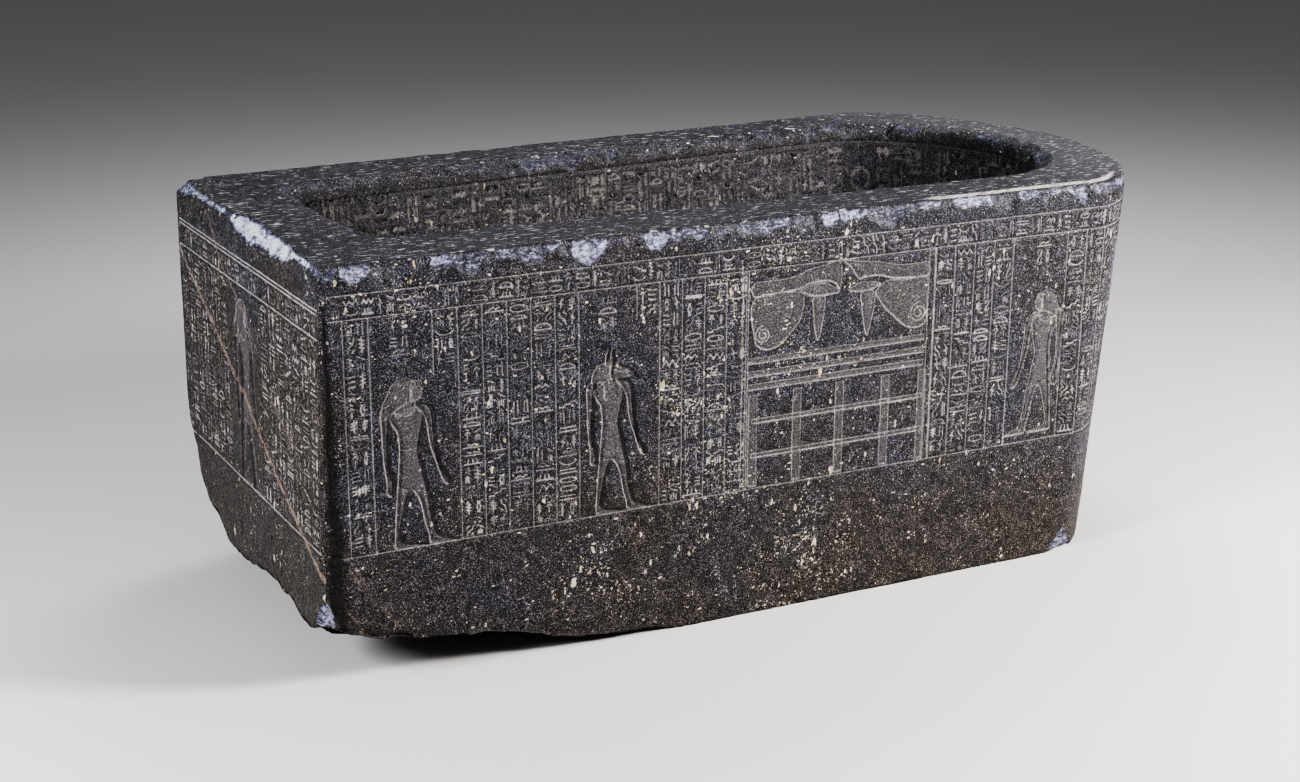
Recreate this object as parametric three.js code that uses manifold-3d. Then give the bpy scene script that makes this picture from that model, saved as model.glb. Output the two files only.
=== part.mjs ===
// A lidless hard-stone sarcophagus chest: one block, hollowed from above, with a flat foot end, long
// sides that spread a little towards a rounded head end, sunk-relief carving and old breaks.
// Millimetres, +Z up, +X towards the head end. The origin is at the middle of the base.

import * as THREE from 'three';
import { mergeVertices } from 'three/addons/utils/BufferGeometryUtils.js';
import Module from 'manifold-3d';

const wasm = await Module();
wasm.setup();

// --- Driving dimensions -------------------------------------------------------------------------

const HEIGHT = 1140;              // underside to rim
const RIM_LENGTH = 2740;          // foot edge to the head end's furthest point, along the rim
const HEAD_TIP_X = 1384;          // the head end's furthest point, at the rim
const FOOT_HALF_WIDTH = 638;      // at the rim, at the foot end
const HEAD_HALF_WIDTH = 701;      // at the rim, where the head curve springs
const HEAD_REACH = 374;           // from the spring line to the head end's furthest point
const HEAD_POWER = 1.75;          // superellipse power of the head curve, 2 is an ellipse
const SIDE_BATTER = 0.017;        // the long sides draw in by this for each unit of depth
const HEAD_BATTER = 0.083;        // and the head end
const FOOT_LEAN = 0.028;          // the foot end spreads outwards by this
const CORNER_RADIUS = 16;         // worn upright corners of the foot end

const FOOT_WALL = 250;            // rim thickness at the foot
const HEAD_WALL = 205;            // rim thickness at the head's furthest point
const OPENING_FOOT_HALF = 369;    // half the opening's width at the foot
const OPENING_HEAD_HALF = 480;    // and at its own spring line
const OPENING_HEAD_REACH = 388;   // from that spring line to the opening's furthest point
const OPENING_FAR_SHIFT = 20;     // the opening lies this much off centre, towards +Y
const OPENING_CORNER_RADIUS = 62; // upright corners of the opening at the foot
const FLOOR_THICKNESS = 262;
const INNER_DRAFT = 0.035;        // the inner walls draw in by this towards the floor
const FLOOR_FILLET = 48;          // sloped run between the inner walls and the floor

const UPPER_LINE_Z = 1066;        // upper line of the text band, on the sides and the head end
const LOWER_LINE_Z = 1003;        // lower line of that band
const GROUND_LINE_Z = 377;        // ground line under the carved register
const FOOT_UPPER_LINE_Z = 1030;   // the same three lines on the foot end
const FOOT_LOWER_LINE_Z = 955;
const FOOT_GROUND_LINE_Z = 392;
const LINE_WIDTH = 4;
const LINE_DEPTH = 3.2;
const RULE_WIDTH = 3.2;           // upright rules between the text columns
const COLUMN_PITCH = 67;          // from one rule to the next
const FIRST_RULE_X = -1302;       // the rule nearest to the foot corner
const FOOT_EDGE_GAP = 22;         // from the foot end's lines to the rounded corners
const FOOT_COLUMNS = 7;           // rules on each side of the foot end's figure
const HEAD_COLUMNS = 7;           // rules on each half of the head end
const HEAD_RULE_TURNS = [0.22, 1.32]; // their first and last turn round the curve, in radians
const HEAD_RULE_HALF_TURN = 0.0052;

const FIGURE_DEPTH = 7;           // sunk figures
const PANEL_DEPTH = 4;            // the bands of the false-door panel
const PANEL_START_X = -158;
const PANEL_END_X = 414;
const PANEL_BAND_HEIGHTS = [366, 330, 288]; // above the ground line
const PANEL_GRID_HEIGHTS = [204, 104];
const PANEL_BARS = 4;
const PANEL_BAR_PITCH = 134;
const PANEL_BAR_WIDTH = 20;
const PANEL_BAR_TOP = 190;
const PANEL_STRIP_HALF = 9;

const CHIP_DROP = 58;             // mean height of the chipped band under the outer rim edge
const CHIP_INSET = 15;            // its mean width on the rim
const INNER_CHIP_DROP = 46;       // the same for the opening's edge
const INNER_CHIP_INSET = 20;

const BREAK_START_X = -390;       // the underside is broken away from here to the foot end
const BREAK_RUN = 1000;
const BREAK_RISE = 166;           // height of the broken underside at the foot end
const BREAK_ROUGHNESS = 26;       // its ups and downs
const FAR_CORNER_RISE = 350;      // the far foot corner is lost up to this much higher still
const FAR_CORNER_START_Y = 190;   // that loss begins here
const FAR_CORNER_RUN = 450;       // and reaches its full height this much further
const FAR_CORNER_POWER = 2.4;     // how sharply it steepens

const HEAD_STEPS = 40;
const CUT_CLEARANCE = 30;         // cutters start this far outside the stone

// --- Outline of the block -----------------------------------------------------------------------

const FOOT_RIM_X = HEAD_TIP_X - RIM_LENGTH;
const SPRING_X = HEAD_TIP_X - HEAD_REACH;

const footX = (z) => FOOT_RIM_X - FOOT_LEAN * (HEIGHT - z);

const halfWidth = (x, z) => {
  const along = (x - FOOT_RIM_X) / (SPRING_X - FOOT_RIM_X);
  return THREE.MathUtils.lerp(FOOT_HALF_WIDTH, HEAD_HALF_WIDTH, along) - SIDE_BATTER * (HEIGHT - z);
};

const signedPower = (value, power) => Math.sign(value) * Math.abs(value) ** power;

// Point of a superellipse arc that bulges towards +X, with turn from -90 to +90 degrees.
const headArc = (turn, springX, reach, half, power) => ({
  x: springX + reach * signedPower(Math.max(Math.cos(turn), 0), 2 / power),
  y: half * signedPower(Math.sin(turn), 2 / power),
});

// The block's outline at height z, anticlockwise from the near foot corner. sideSteps splits each
// long side and footSteps the foot end, for cutters whose section changes along the way.
function outlineAt(z, sideSteps = 1, footSteps = 1) {
  const points = [];
  const foot = footX(z);
  const spring = SPRING_X - HEAD_BATTER * (HEIGHT - z);
  const half = halfWidth(SPRING_X, z);
  const cornerHalf = halfWidth(FOOT_RIM_X, z);
  const cornerSteps = 3;
  for (let i = 0; i <= cornerSteps; i += 1) {
    const turn = Math.PI + (i / cornerSteps) * (Math.PI / 2);
    points.push({
      x: foot + CORNER_RADIUS + CORNER_RADIUS * Math.cos(turn),
      y: -cornerHalf + CORNER_RADIUS + CORNER_RADIUS * Math.sin(turn),
    });
  }
  for (let i = 1; i < sideSteps; i += 1) {
    const x = THREE.MathUtils.lerp(foot + CORNER_RADIUS, spring, i / sideSteps);
    points.push({ x, y: -halfWidth(x, z) });
  }
  for (let i = 0; i <= HEAD_STEPS; i += 1) {
    const turn = -Math.PI / 2 + (i / HEAD_STEPS) * Math.PI;
    points.push(headArc(turn, spring, HEAD_REACH, half, HEAD_POWER));
  }
  for (let i = sideSteps - 1; i > 0; i -= 1) {
    const x = THREE.MathUtils.lerp(foot + CORNER_RADIUS, spring, i / sideSteps);
    points.push({ x, y: halfWidth(x, z) });
  }
  for (let i = 0; i <= cornerSteps; i += 1) {
    const turn = Math.PI / 2 + (i / cornerSteps) * (Math.PI / 2);
    points.push({
      x: foot + CORNER_RADIUS + CORNER_RADIUS * Math.cos(turn),
      y: cornerHalf - CORNER_RADIUS + CORNER_RADIUS * Math.sin(turn),
    });
  }
  for (let i = 1; i < footSteps; i += 1) {
    const straight = cornerHalf - CORNER_RADIUS;
    points.push({ x: foot, y: THREE.MathUtils.lerp(straight, -straight, i / footSteps) });
  }
  return points;
}

// The opening's outline at height z, anticlockwise from its near foot corner.
function openingAt(z, sideSteps = 1, footSteps = 1) {
  const points = [];
  const draw = INNER_DRAFT * (HEIGHT - z);
  const foot = FOOT_RIM_X + FOOT_WALL + draw;
  const spring = HEAD_TIP_X - HEAD_WALL - OPENING_HEAD_REACH;
  const reach = OPENING_HEAD_REACH - draw;
  const footHalf = OPENING_FOOT_HALF - draw;
  const headHalf = OPENING_HEAD_HALF - draw;
  const side = (x) => THREE.MathUtils.mapLinear(x, foot, spring, footHalf, headHalf);
  const cornerSteps = 5;
  const radius = OPENING_CORNER_RADIUS;
  const straight = footHalf - radius;
  const corner = (turn, centreY) => {
    points.push({ x: foot + radius + radius * Math.cos(turn), y: centreY + radius * Math.sin(turn) });
  };
  for (let i = 0; i <= cornerSteps; i += 1) {
    corner(Math.PI + (i / cornerSteps) * (Math.PI / 2), -straight);
  }
  for (let i = 1; i < sideSteps; i += 1) {
    const x = THREE.MathUtils.lerp(foot + radius, spring, i / sideSteps);
    points.push({ x, y: -side(x) });
  }
  for (let i = 0; i <= HEAD_STEPS; i += 1) {
    points.push(headArc(-Math.PI / 2 + (i / HEAD_STEPS) * Math.PI, spring, reach, headHalf, 2));
  }
  for (let i = sideSteps - 1; i > 0; i -= 1) {
    const x = THREE.MathUtils.lerp(foot + radius, spring, i / sideSteps);
    points.push({ x, y: side(x) });
  }
  for (let i = 0; i <= cornerSteps; i += 1) {
    corner(Math.PI / 2 + (i / cornerSteps) * (Math.PI / 2), straight);
  }
  for (let i = 1; i < footSteps; i += 1) {
    points.push({ x: foot, y: THREE.MathUtils.lerp(straight, -straight, i / footSteps) });
  }
  return points.map(({ x, y }) => ({ x, y: y + OPENING_FAR_SHIFT }));
}

// --- Solids from rings of points ----------------------------------------------------------------

// A closed manifold from vertices and triangles, turned right side out.
function toSolid(vertices, triangles) {
  let geometry = new THREE.BufferGeometry();
  geometry.setAttribute('position', new THREE.Float32BufferAttribute(vertices.flat(), 3));
  geometry.setIndex(triangles.flat());
  geometry = mergeVertices(geometry, 1e-4);
  const position = geometry.getAttribute('position');
  const index = geometry.getIndex();
  let volume = 0;
  const [a, b, c] = [new THREE.Vector3(), new THREE.Vector3(), new THREE.Vector3()];
  for (let i = 0; i < index.count; i += 3) {
    a.fromBufferAttribute(position, index.getX(i));
    b.fromBufferAttribute(position, index.getX(i + 1));
    c.fromBufferAttribute(position, index.getX(i + 2));
    volume += a.dot(b.cross(c));
  }
  const triVerts = Uint32Array.from(index.array);
  if (volume < 0) {
    for (let i = 0; i < triVerts.length; i += 3) {
      [triVerts[i + 1], triVerts[i + 2]] = [triVerts[i + 2], triVerts[i + 1]];
    }
  }
  const vertProperties = Float32Array.from(position.array);
  return new wasm.Manifold(new wasm.Mesh({ numProp: 3, vertProperties, triVerts }));
}

// Rings of equal length, joined one to the next and capped at both ends. flat gives each ring
// point's two coordinates in the plane of the caps.
function loft(rings, flat) {
  const count = rings[0].length;
  const vertices = rings.flat();
  const triangles = [];
  for (let ring = 0; ring + 1 < rings.length; ring += 1) {
    for (let i = 0; i < count; i += 1) {
      const next = (i + 1) % count;
      const low = ring * count;
      const high = low + count;
      triangles.push([low + i, low + next, high + next], [low + i, high + next, high + i]);
    }
  }
  const contour = flat.map(([u, v]) => new THREE.Vector2(u, v));
  const clockwise = THREE.ShapeUtils.isClockWise(contour);
  const top = (rings.length - 1) * count;
  for (const [a, b, c] of THREE.ShapeUtils.triangulateShape(contour, [])) {
    const [second, third] = clockwise ? [c, b] : [b, c];
    triangles.push([a, third, second], [top + a, top + second, top + third]);
  }
  return toSolid(vertices, triangles);
}

const level = (points, z) => points.map(({ x, y }) => [x, y, z]);

const levelLoft = (outlines) => loft(
  outlines.map(({ points, z }) => level(points, z)),
  outlines[0].points.map(({ x, y }) => [x, y]),
);

// A section carried round a closed outline. sectionAt(i) lists the section's [outwards, z] corners
// at outline point i, and pointAt(i, outwards, z) puts a corner in space.
function ringSolid(count, sectionAt, pointAt) {
  const vertices = [];
  const triangles = [];
  const corners = sectionAt(0).length;
  for (let i = 0; i < count; i += 1) {
    for (const [outwards, z] of sectionAt(i)) {
      vertices.push(pointAt(i, outwards, z));
    }
  }
  for (let i = 0; i < count; i += 1) {
    for (let j = 0; j < corners; j += 1) {
      const a = i * corners + j;
      const b = i * corners + ((j + 1) % corners);
      const c = ((i + 1) % count) * corners + j;
      const d = ((i + 1) % count) * corners + ((j + 1) % corners);
      triangles.push([a, c, d], [a, d, b]);
    }
  }
  return toSolid(vertices, triangles);
}

// Point i of an outline, moved outwards along the mean normal of its two edges.
function outwardsOf(points, i, distance) {
  const before = points[(i + points.length - 1) % points.length];
  const after = points[(i + 1) % points.length];
  const run = Math.hypot(after.x - before.x, after.y - before.y);
  const normalX = (after.y - before.y) / run;
  const normalY = -(after.x - before.x) / run;
  return [points[i].x + normalX * distance, points[i].y + normalY * distance];
}

// --- Irregularity -------------------------------------------------------------------------------

// A repeatable value from 0 to 1 for a whole number.
const hash = (n) => {
  const wave = Math.sin(n * 127.1 + 311.7) * 43758.5453;
  return wave - Math.floor(wave);
};

// --- The block, its opening and its breaks ------------------------------------------------------

const blockSolid = () => levelLoft([
  { points: outlineAt(0), z: 0 },
  { points: outlineAt(HEIGHT), z: HEIGHT },
]);

function openingSolid() {
  const floor = openingAt(FLOOR_THICKNESS);
  const floorRun = floor.map((_, i) => {
    const [x, y] = outwardsOf(floor, i, -FLOOR_FILLET);
    return { x, y };
  });
  return levelLoft([
    { points: floorRun, z: FLOOR_THICKNESS },
    { points: openingAt(FLOOR_THICKNESS + FLOOR_FILLET), z: FLOOR_THICKNESS + FLOOR_FILLET },
    { points: openingAt(HEIGHT + CUT_CLEARANCE), z: HEIGHT + CUT_CLEARANCE },
  ]);
}

// An uneven bevel along an edge: it starts inset from the edge on the rim and ends drop below it on
// the wall. side is 1 on the outer edge and -1 round the opening.
function chippedEdge(outline, inset, drop, seed, side) {
  const rim = outline(HEIGHT);
  const sizes = rim.map((_, i) => ({
    inset: inset * (0.7 + 0.6 * hash(i + seed)),
    drop: drop * (0.8 + 0.4 * hash(i + seed + 0.5)),
  }));
  const section = (i) => {
    const { inset: width, drop: depth } = sizes[i];
    const past = 0.8;
    return [
      [side * -width * (1 + past), HEIGHT + depth * past],
      [side * width * past, HEIGHT - depth * (1 + past)],
      [side * (width + CUT_CLEARANCE), HEIGHT + depth * past],
    ];
  };
  return ringSolid(rim.length, section, (i, outwards, z) => {
    const [x, y] = outwardsOf(outline(z), i, outwards);
    return [x, y, z];
  });
}

const EDGE_SIDE_STEPS = 22;
const EDGE_FOOT_STEPS = 11;

const outerChips = () => chippedEdge(
  (z) => outlineAt(z, EDGE_SIDE_STEPS, EDGE_FOOT_STEPS), CHIP_INSET, CHIP_DROP, 3, 1,
);
const innerChips = () => chippedEdge(
  (z) => openingAt(z, EDGE_SIDE_STEPS, EDGE_FOOT_STEPS), INNER_CHIP_INSET, INNER_CHIP_DROP, 71, -1,
);

// Height of the broken underside: it climbs towards the foot end, and steeply at the far corner.
function breakHeight(x, y) {
  const climb = BREAK_RISE * THREE.MathUtils.smoothstep(BREAK_START_X - x, 0, BREAK_RUN);
  const past = THREE.MathUtils.clamp((y - FAR_CORNER_START_Y) / FAR_CORNER_RUN, 0, 1.2);
  const cornerFade = THREE.MathUtils.smoothstep(-x, 900, 1350);
  return climb + FAR_CORNER_RISE * past ** FAR_CORNER_POWER * cornerFade;
}

// All that is missing under that height: a rough sheet above a flat one, walled round.
function brokenUnderside() {
  const across = 14;
  const along = 20;
  const halfSpan = 760;
  const fullRoughness = 60;
  const vertices = [];
  const triangles = [];
  const startX = FOOT_RIM_X - 120;
  for (const top of [true, false]) {
    for (let i = 0; i <= along; i += 1) {
      for (let j = 0; j <= across; j += 1) {
        const x = THREE.MathUtils.lerp(startX, BREAK_START_X, i / along);
        const y = THREE.MathUtils.lerp(-halfSpan, halfSpan, j / across);
        const last = i === along;
        const rough = last ? 0 : BREAK_ROUGHNESS * (hash(i * 31 + j * 7) - 0.5);
        const height = Math.max(breakHeight(x, y), 0);
        const share = THREE.MathUtils.clamp(height / fullRoughness, 0, 1);
        vertices.push([x, y, top ? height + rough * share - (last ? 1 : 0) : -CUT_CLEARANCE]);
      }
    }
  }
  const row = across + 1;
  const sheet = row * (along + 1);
  const at = (i, j, low) => i * row + j + (low ? sheet : 0);
  for (let i = 0; i < along; i += 1) {
    for (let j = 0; j < across; j += 1) {
      triangles.push([at(i, j), at(i + 1, j), at(i + 1, j + 1)]);
      triangles.push([at(i, j), at(i + 1, j + 1), at(i, j + 1)]);
      triangles.push([at(i, j, 1), at(i + 1, j + 1, 1), at(i + 1, j, 1)]);
      triangles.push([at(i, j, 1), at(i, j + 1, 1), at(i + 1, j + 1, 1)]);
    }
  }
  const wall = (a, b, c, d) => triangles.push([a, b, c], [a, c, d]);
  for (let i = 0; i < along; i += 1) {
    wall(at(i, 0), at(i, 0, 1), at(i + 1, 0, 1), at(i + 1, 0));
    wall(at(i + 1, across), at(i + 1, across, 1), at(i, across, 1), at(i, across));
  }
  for (let j = 0; j < across; j += 1) {
    wall(at(0, j + 1), at(0, j + 1, 1), at(0, j, 1), at(0, j));
    wall(at(along, j), at(along, j, 1), at(along, j + 1, 1), at(along, j + 1));
  }
  return toSolid(vertices, triangles);
}

// --- Cutters on the walls -----------------------------------------------------------------------

// Where a wall puts a point that is u along it, at height z, and sunk by depth. side is -1 for the
// near long side and 1 for the far one.
const onSide = (side) => (u, z, depth) => [u, side * (halfWidth(u, z) - depth), z];
const onFoot = (u, z, depth) => [footX(z) + depth, u, z];

// On the head end u is the turn round the curve, in radians from the axis.
const onHead = (turn, z, depth) => {
  const step = 0.01;
  const spring = SPRING_X - HEAD_BATTER * (HEIGHT - z);
  const half = halfWidth(SPRING_X, z);
  const here = headArc(turn, spring, HEAD_REACH, half, HEAD_POWER);
  const ahead = headArc(turn + step, spring, HEAD_REACH, half, HEAD_POWER);
  const behind = headArc(turn - step, spring, HEAD_REACH, half, HEAD_POWER);
  const run = Math.hypot(ahead.x - behind.x, ahead.y - behind.y);
  const inX = -(ahead.y - behind.y) / run;
  const inY = (ahead.x - behind.x) / run;
  return [here.x + inX * depth, here.y + inY * depth, z];
};

// A flat outline of [u, z] points cut to an even depth into a wall.
const sunkShape = (points, place, depth) => loft([
  points.map(([u, z]) => place(u, z, -CUT_CLEARANCE)),
  points.map(([u, z]) => place(u, z, depth)),
], points);

const sunkBox = (u0, u1, z0, z1, place, depth) => sunkShape(
  [[u0, z0], [u1, z0], [u1, z1], [u0, z1]],
  place,
  depth,
);

// A line cut round the sides and the head end at one height.
function sideLine(z) {
  const section = () => [
    [-LINE_DEPTH, z - LINE_WIDTH / 2], [CUT_CLEARANCE, z - LINE_WIDTH / 2],
    [CUT_CLEARANCE, z + LINE_WIDTH / 2], [-LINE_DEPTH, z + LINE_WIDTH / 2],
  ];
  const count = outlineAt(z).length;
  const ring = ringSolid(count, section, (i, outwards, height) => {
    const [x, y] = outwardsOf(outlineAt(height), i, outwards);
    return [x, y, height];
  });
  const clear = CUT_CLEARANCE * 2;
  const low = footX(z) - clear;
  const high = footX(z) + CORNER_RADIUS;
  const wide = FOOT_HALF_WIDTH + clear;
  const footGuard = [[low, -wide], [high, -wide], [high, wide], [low, wide]];
  return ring.subtract(loft([
    footGuard.map(([x, y]) => [x, y, z - clear]),
    footGuard.map(([x, y]) => [x, y, z + clear]),
  ], footGuard));
}

// --- The carved register ------------------------------------------------------------------------

// A striding figure of height 1 that faces +u, feet at 0, in four overlapping outlines.
const BODY = [
  [-0.15, 0.87], [-0.09, 0.72], [-0.07, 0.6], [-0.1, 0.5], [-0.11, 0.41], [-0.1, 0.3],
  [-0.1, 0.16], [-0.12, 0], [0.05, 0], [0.04, 0.03], [-0.05, 0.05], [-0.035, 0.2],
  [-0.01, 0.38], [0.03, 0.3], [0.08, 0.12], [0.14, 0], [0.29, 0], [0.27, 0.03],
  [0.2, 0.045], [0.15, 0.16], [0.11, 0.28], [0.09, 0.41], [0.06, 0.52], [0.05, 0.6],
  [0.06, 0.72], [0.1, 0.84], [0.05, 0.88],
];
const BACK_ARM = [
  [-0.15, 0.87], [-0.18, 0.82], [-0.175, 0.65], [-0.165, 0.5], [-0.15, 0.38], [-0.12, 0.38],
  [-0.13, 0.5], [-0.13, 0.65], [-0.12, 0.8],
];
const FRONT_ARM = [
  [0.06, 0.87], [0.12, 0.85], [0.15, 0.75], [0.17, 0.6], [0.21, 0.48], [0.245, 0.38],
  [0.21, 0.36], [0.17, 0.46], [0.135, 0.58], [0.115, 0.7], [0.09, 0.8],
];
const WIGGED_HEAD = [
  [-0.03, 0.86], [-0.16, 0.83], [-0.14, 0.9], [-0.09, 0.97], [-0.03, 1.0], [0.03, 1.0],
  [0.065, 0.97], [0.07, 0.93], [0.06, 0.88], [0.04, 0.84],
];
const JACKAL_HEAD = [
  [-0.04, 0.84], [-0.15, 0.82], [-0.1, 0.9], [-0.06, 0.95], [-0.045, 1.07], [-0.02, 1.08],
  [-0.005, 0.98], [0.03, 0.975], [0.13, 0.93], [0.14, 0.91], [0.06, 0.9], [0.045, 0.85],
];

function figure(place, { at, ground, height, facing, head }) {
  const put = (points) => points.map(([u, v]) => [at + facing * u * height, ground + v * height]);
  const cut = (points) => sunkShape(put(points), place, FIGURE_DEPTH);
  return [BODY, BACK_ARM, FRONT_ARM, head].map(cut);
}

// Upright rules at the given positions, between two heights.
const rules = (positions, low, high, place, width = RULE_WIDTH) => positions.map(
  (u) => sunkBox(u - width / 2, u + width / 2, low, high, place, LINE_DEPTH),
);

const pitches = (start, count, pitch = COLUMN_PITCH) => Array.from(
  { length: count },
  (_, i) => start + i * pitch,
);

// One emblem of the panel, as shares of the way from the panel's middle to its side and as drops
// below the top of the brow: the brow, the drop that hangs from it, and the corner of the cheek.
const BROW = [[0.08, 8], [0.5, 0], [0.965, 26], [0.965, 50], [0.5, 34], [0.12, 42]];
const BROW_DROP = [[0.24, 60], [0.34, 60], [0.33, 160], [0.28, 205], [0.22, 150]];
const CHEEK = [[0.93, 120], [0.7, 190], [0.68, 205], [0.93, 190]];

// The false-door panel: two facing emblems, three bands and a barred grid.
function panel(place) {
  const middle = (PANEL_START_X + PANEL_END_X) / 2;
  const browTop = LOWER_LINE_Z - 16;
  const cuts = [];
  for (const side of [PANEL_START_X, PANEL_END_X]) {
    for (const shape of [BROW, BROW_DROP, CHEEK]) {
      const points = shape.map(([share, drop]) => [middle + (side - middle) * share, browTop - drop]);
      cuts.push(sunkShape(points, place, PANEL_DEPTH));
    }
  }
  for (const height of [...PANEL_BAND_HEIGHTS, ...PANEL_GRID_HEIGHTS]) {
    const z = GROUND_LINE_Z + height;
    const low = z - PANEL_STRIP_HALF;
    const high = z + PANEL_STRIP_HALF;
    cuts.push(sunkBox(PANEL_START_X, PANEL_END_X - PANEL_STRIP_HALF, low, high, place, PANEL_DEPTH));
  }
  for (let bar = 0; bar < PANEL_BARS; bar += 1) {
    const u = PANEL_START_X + PANEL_STRIP_HALF + bar * PANEL_BAR_PITCH;
    const low = GROUND_LINE_Z + LINE_WIDTH;
    const high = GROUND_LINE_Z + PANEL_BAR_TOP;
    cuts.push(sunkBox(u, u + PANEL_BAR_WIDTH, low, high, place, PANEL_DEPTH * 0.8));
  }
  return cuts;
}

// One long side from foot to head: columns, a figure, columns, a figure, columns, the panel, columns.
function longSide(side) {
  const place = onSide(side);
  const low = GROUND_LINE_Z + 2;
  const high = LOWER_LINE_Z - 2;
  const half = LOWER_LINE_Z - 165;
  const second = FIRST_RULE_X + COLUMN_PITCH;
  const cuts = [
    ...rules([FIRST_RULE_X, second], low, high, place),
    ...rules(pitches(second + 3.5 * COLUMN_PITCH, 6), low, high, place),
    ...rules([second + 2.5 * COLUMN_PITCH], half, high, place),
    ...rules(pitches(second + 12 * COLUMN_PITCH, 5), low, high, place),
    ...rules([second + 11 * COLUMN_PITCH], high - 90, high, place),
    ...rules(pitches(PANEL_END_X + 20, 5), low, high, place),
    ...panel(place),
  ];
  const ground = GROUND_LINE_Z + 3;
  cuts.push(...figure(place, { at: -1136, ground, height: 452, facing: 1, head: WIGGED_HEAD }));
  cuts.push(...figure(place, { at: -572, ground, height: 436, facing: 1, head: JACKAL_HEAD }));
  cuts.push(...figure(place, { at: 822, ground: ground + 22, height: 432, facing: -1, head: WIGGED_HEAD }));
  return cuts;
}

// The foot end: a double line, a band's lower line, the ground line, rules and a figure.
function footEnd() {
  const low = FOOT_GROUND_LINE_Z + 2;
  const high = FOOT_LOWER_LINE_Z - 2;
  const edge = FOOT_HALF_WIDTH - CORNER_RADIUS - FOOT_EDGE_GAP;
  const lines = [FOOT_UPPER_LINE_Z, FOOT_UPPER_LINE_Z - 11, FOOT_LOWER_LINE_Z, FOOT_GROUND_LINE_Z];
  const cuts = [];
  for (const z of lines) {
    cuts.push(sunkBox(-edge, edge, z - LINE_WIDTH / 2, z + LINE_WIDTH / 2, onFoot, LINE_DEPTH));
  }
  for (const side of [-1, 1]) {
    cuts.push(...rules(pitches(side * edge, FOOT_COLUMNS, -side * COLUMN_PITCH), low, high, onFoot));
  }
  cuts.push(...figure(onFoot, { at: 0, ground: low, height: 520, facing: -1, head: WIGGED_HEAD }));
  return cuts;
}

function headEnd() {
  const [first, last] = HEAD_RULE_TURNS;
  const low = GROUND_LINE_Z + 2;
  const high = LOWER_LINE_Z - 2;
  const cuts = [];
  for (const side of [-1, 1]) {
    for (let i = 0; i < HEAD_COLUMNS; i += 1) {
      const turn = side * THREE.MathUtils.lerp(first, last, i / (HEAD_COLUMNS - 1));
      const start = turn - HEAD_RULE_HALF_TURN;
      const end = turn + HEAD_RULE_HALF_TURN;
      cuts.push(sunkBox(start, end, low, high, onHead, LINE_DEPTH));
    }
  }
  return cuts;
}

// --- Assembly -----------------------------------------------------------------------------------

function chestGeometry() {
  let chest = blockSolid();
  const cuts = [
    openingSolid(), outerChips(), innerChips(), brokenUnderside(),
    sideLine(UPPER_LINE_Z), sideLine(LOWER_LINE_Z), sideLine(GROUND_LINE_Z),
    ...longSide(-1), ...longSide(1), ...footEnd(), ...headEnd(),
  ];
  for (const cut of cuts) {
    chest = chest.subtract(cut);
  }
  const mesh = chest.getMesh();
  const geometry = new THREE.BufferGeometry();
  const positions = new Float32Array(mesh.vertProperties);
  geometry.setAttribute('position', new THREE.BufferAttribute(positions, 3));
  geometry.setIndex(new THREE.BufferAttribute(new Uint32Array(mesh.triVerts), 1));
  geometry.computeVertexNormals();
  return geometry;
}

const darkStone = new THREE.MeshStandardMaterial({ color: 0x2b2a2e, roughness: 0.55, metalness: 0 });

const chest = new THREE.Mesh(chestGeometry(), darkStone);
chest.name = 'sarcophagus_chest';

const sarcophagus = new THREE.Group();
sarcophagus.add(chest);

export default sarcophagus;
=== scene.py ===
"""Lidless stone sarcophagus chest, as a Blender add-on that is run as a script.

The block's skin is worked out as grids of points: along the outline (run) and up the wall, over the
rim and down the hollow. Carving, flakes and breaks push the points in or out of that base surface.
Metres, +Z up, +X towards the rounded head end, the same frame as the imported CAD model.
"""
import math

import bpy
import numpy as np
from mathutils import Matrix, Vector


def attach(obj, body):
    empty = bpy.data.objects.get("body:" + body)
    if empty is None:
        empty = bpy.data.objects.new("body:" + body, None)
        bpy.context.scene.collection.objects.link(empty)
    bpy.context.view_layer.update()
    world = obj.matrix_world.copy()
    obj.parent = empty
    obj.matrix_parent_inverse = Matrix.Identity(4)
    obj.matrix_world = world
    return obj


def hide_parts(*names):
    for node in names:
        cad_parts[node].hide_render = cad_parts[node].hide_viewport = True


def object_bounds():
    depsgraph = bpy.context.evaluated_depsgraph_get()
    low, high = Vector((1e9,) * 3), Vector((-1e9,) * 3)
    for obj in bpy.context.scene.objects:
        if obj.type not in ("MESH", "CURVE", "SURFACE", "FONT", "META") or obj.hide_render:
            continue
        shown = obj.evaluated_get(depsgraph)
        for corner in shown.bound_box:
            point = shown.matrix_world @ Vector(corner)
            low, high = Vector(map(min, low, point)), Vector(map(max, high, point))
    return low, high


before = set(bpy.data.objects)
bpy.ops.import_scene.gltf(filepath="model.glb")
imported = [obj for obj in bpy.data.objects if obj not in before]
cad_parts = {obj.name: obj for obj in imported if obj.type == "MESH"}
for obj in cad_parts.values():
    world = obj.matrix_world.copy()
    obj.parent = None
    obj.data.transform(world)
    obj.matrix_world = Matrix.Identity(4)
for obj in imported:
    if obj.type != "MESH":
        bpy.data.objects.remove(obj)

CAD_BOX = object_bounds()

bl_info = {
    "name": "Stone Sarcophagus Chest",
    "version": (1, 0, 0),
    "blender": (4, 5, 0),
    "location": "3D View > Sidebar > Chest",
    "description": "Builds a carved, lidless stone sarcophagus chest with its breaks and veins",
    "category": "Add Mesh",
}

NODE = "sarcophagus_chest"
ROOT = "root"

# --- Sizes of the block, in metres --------------------------------------------------------------

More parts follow.
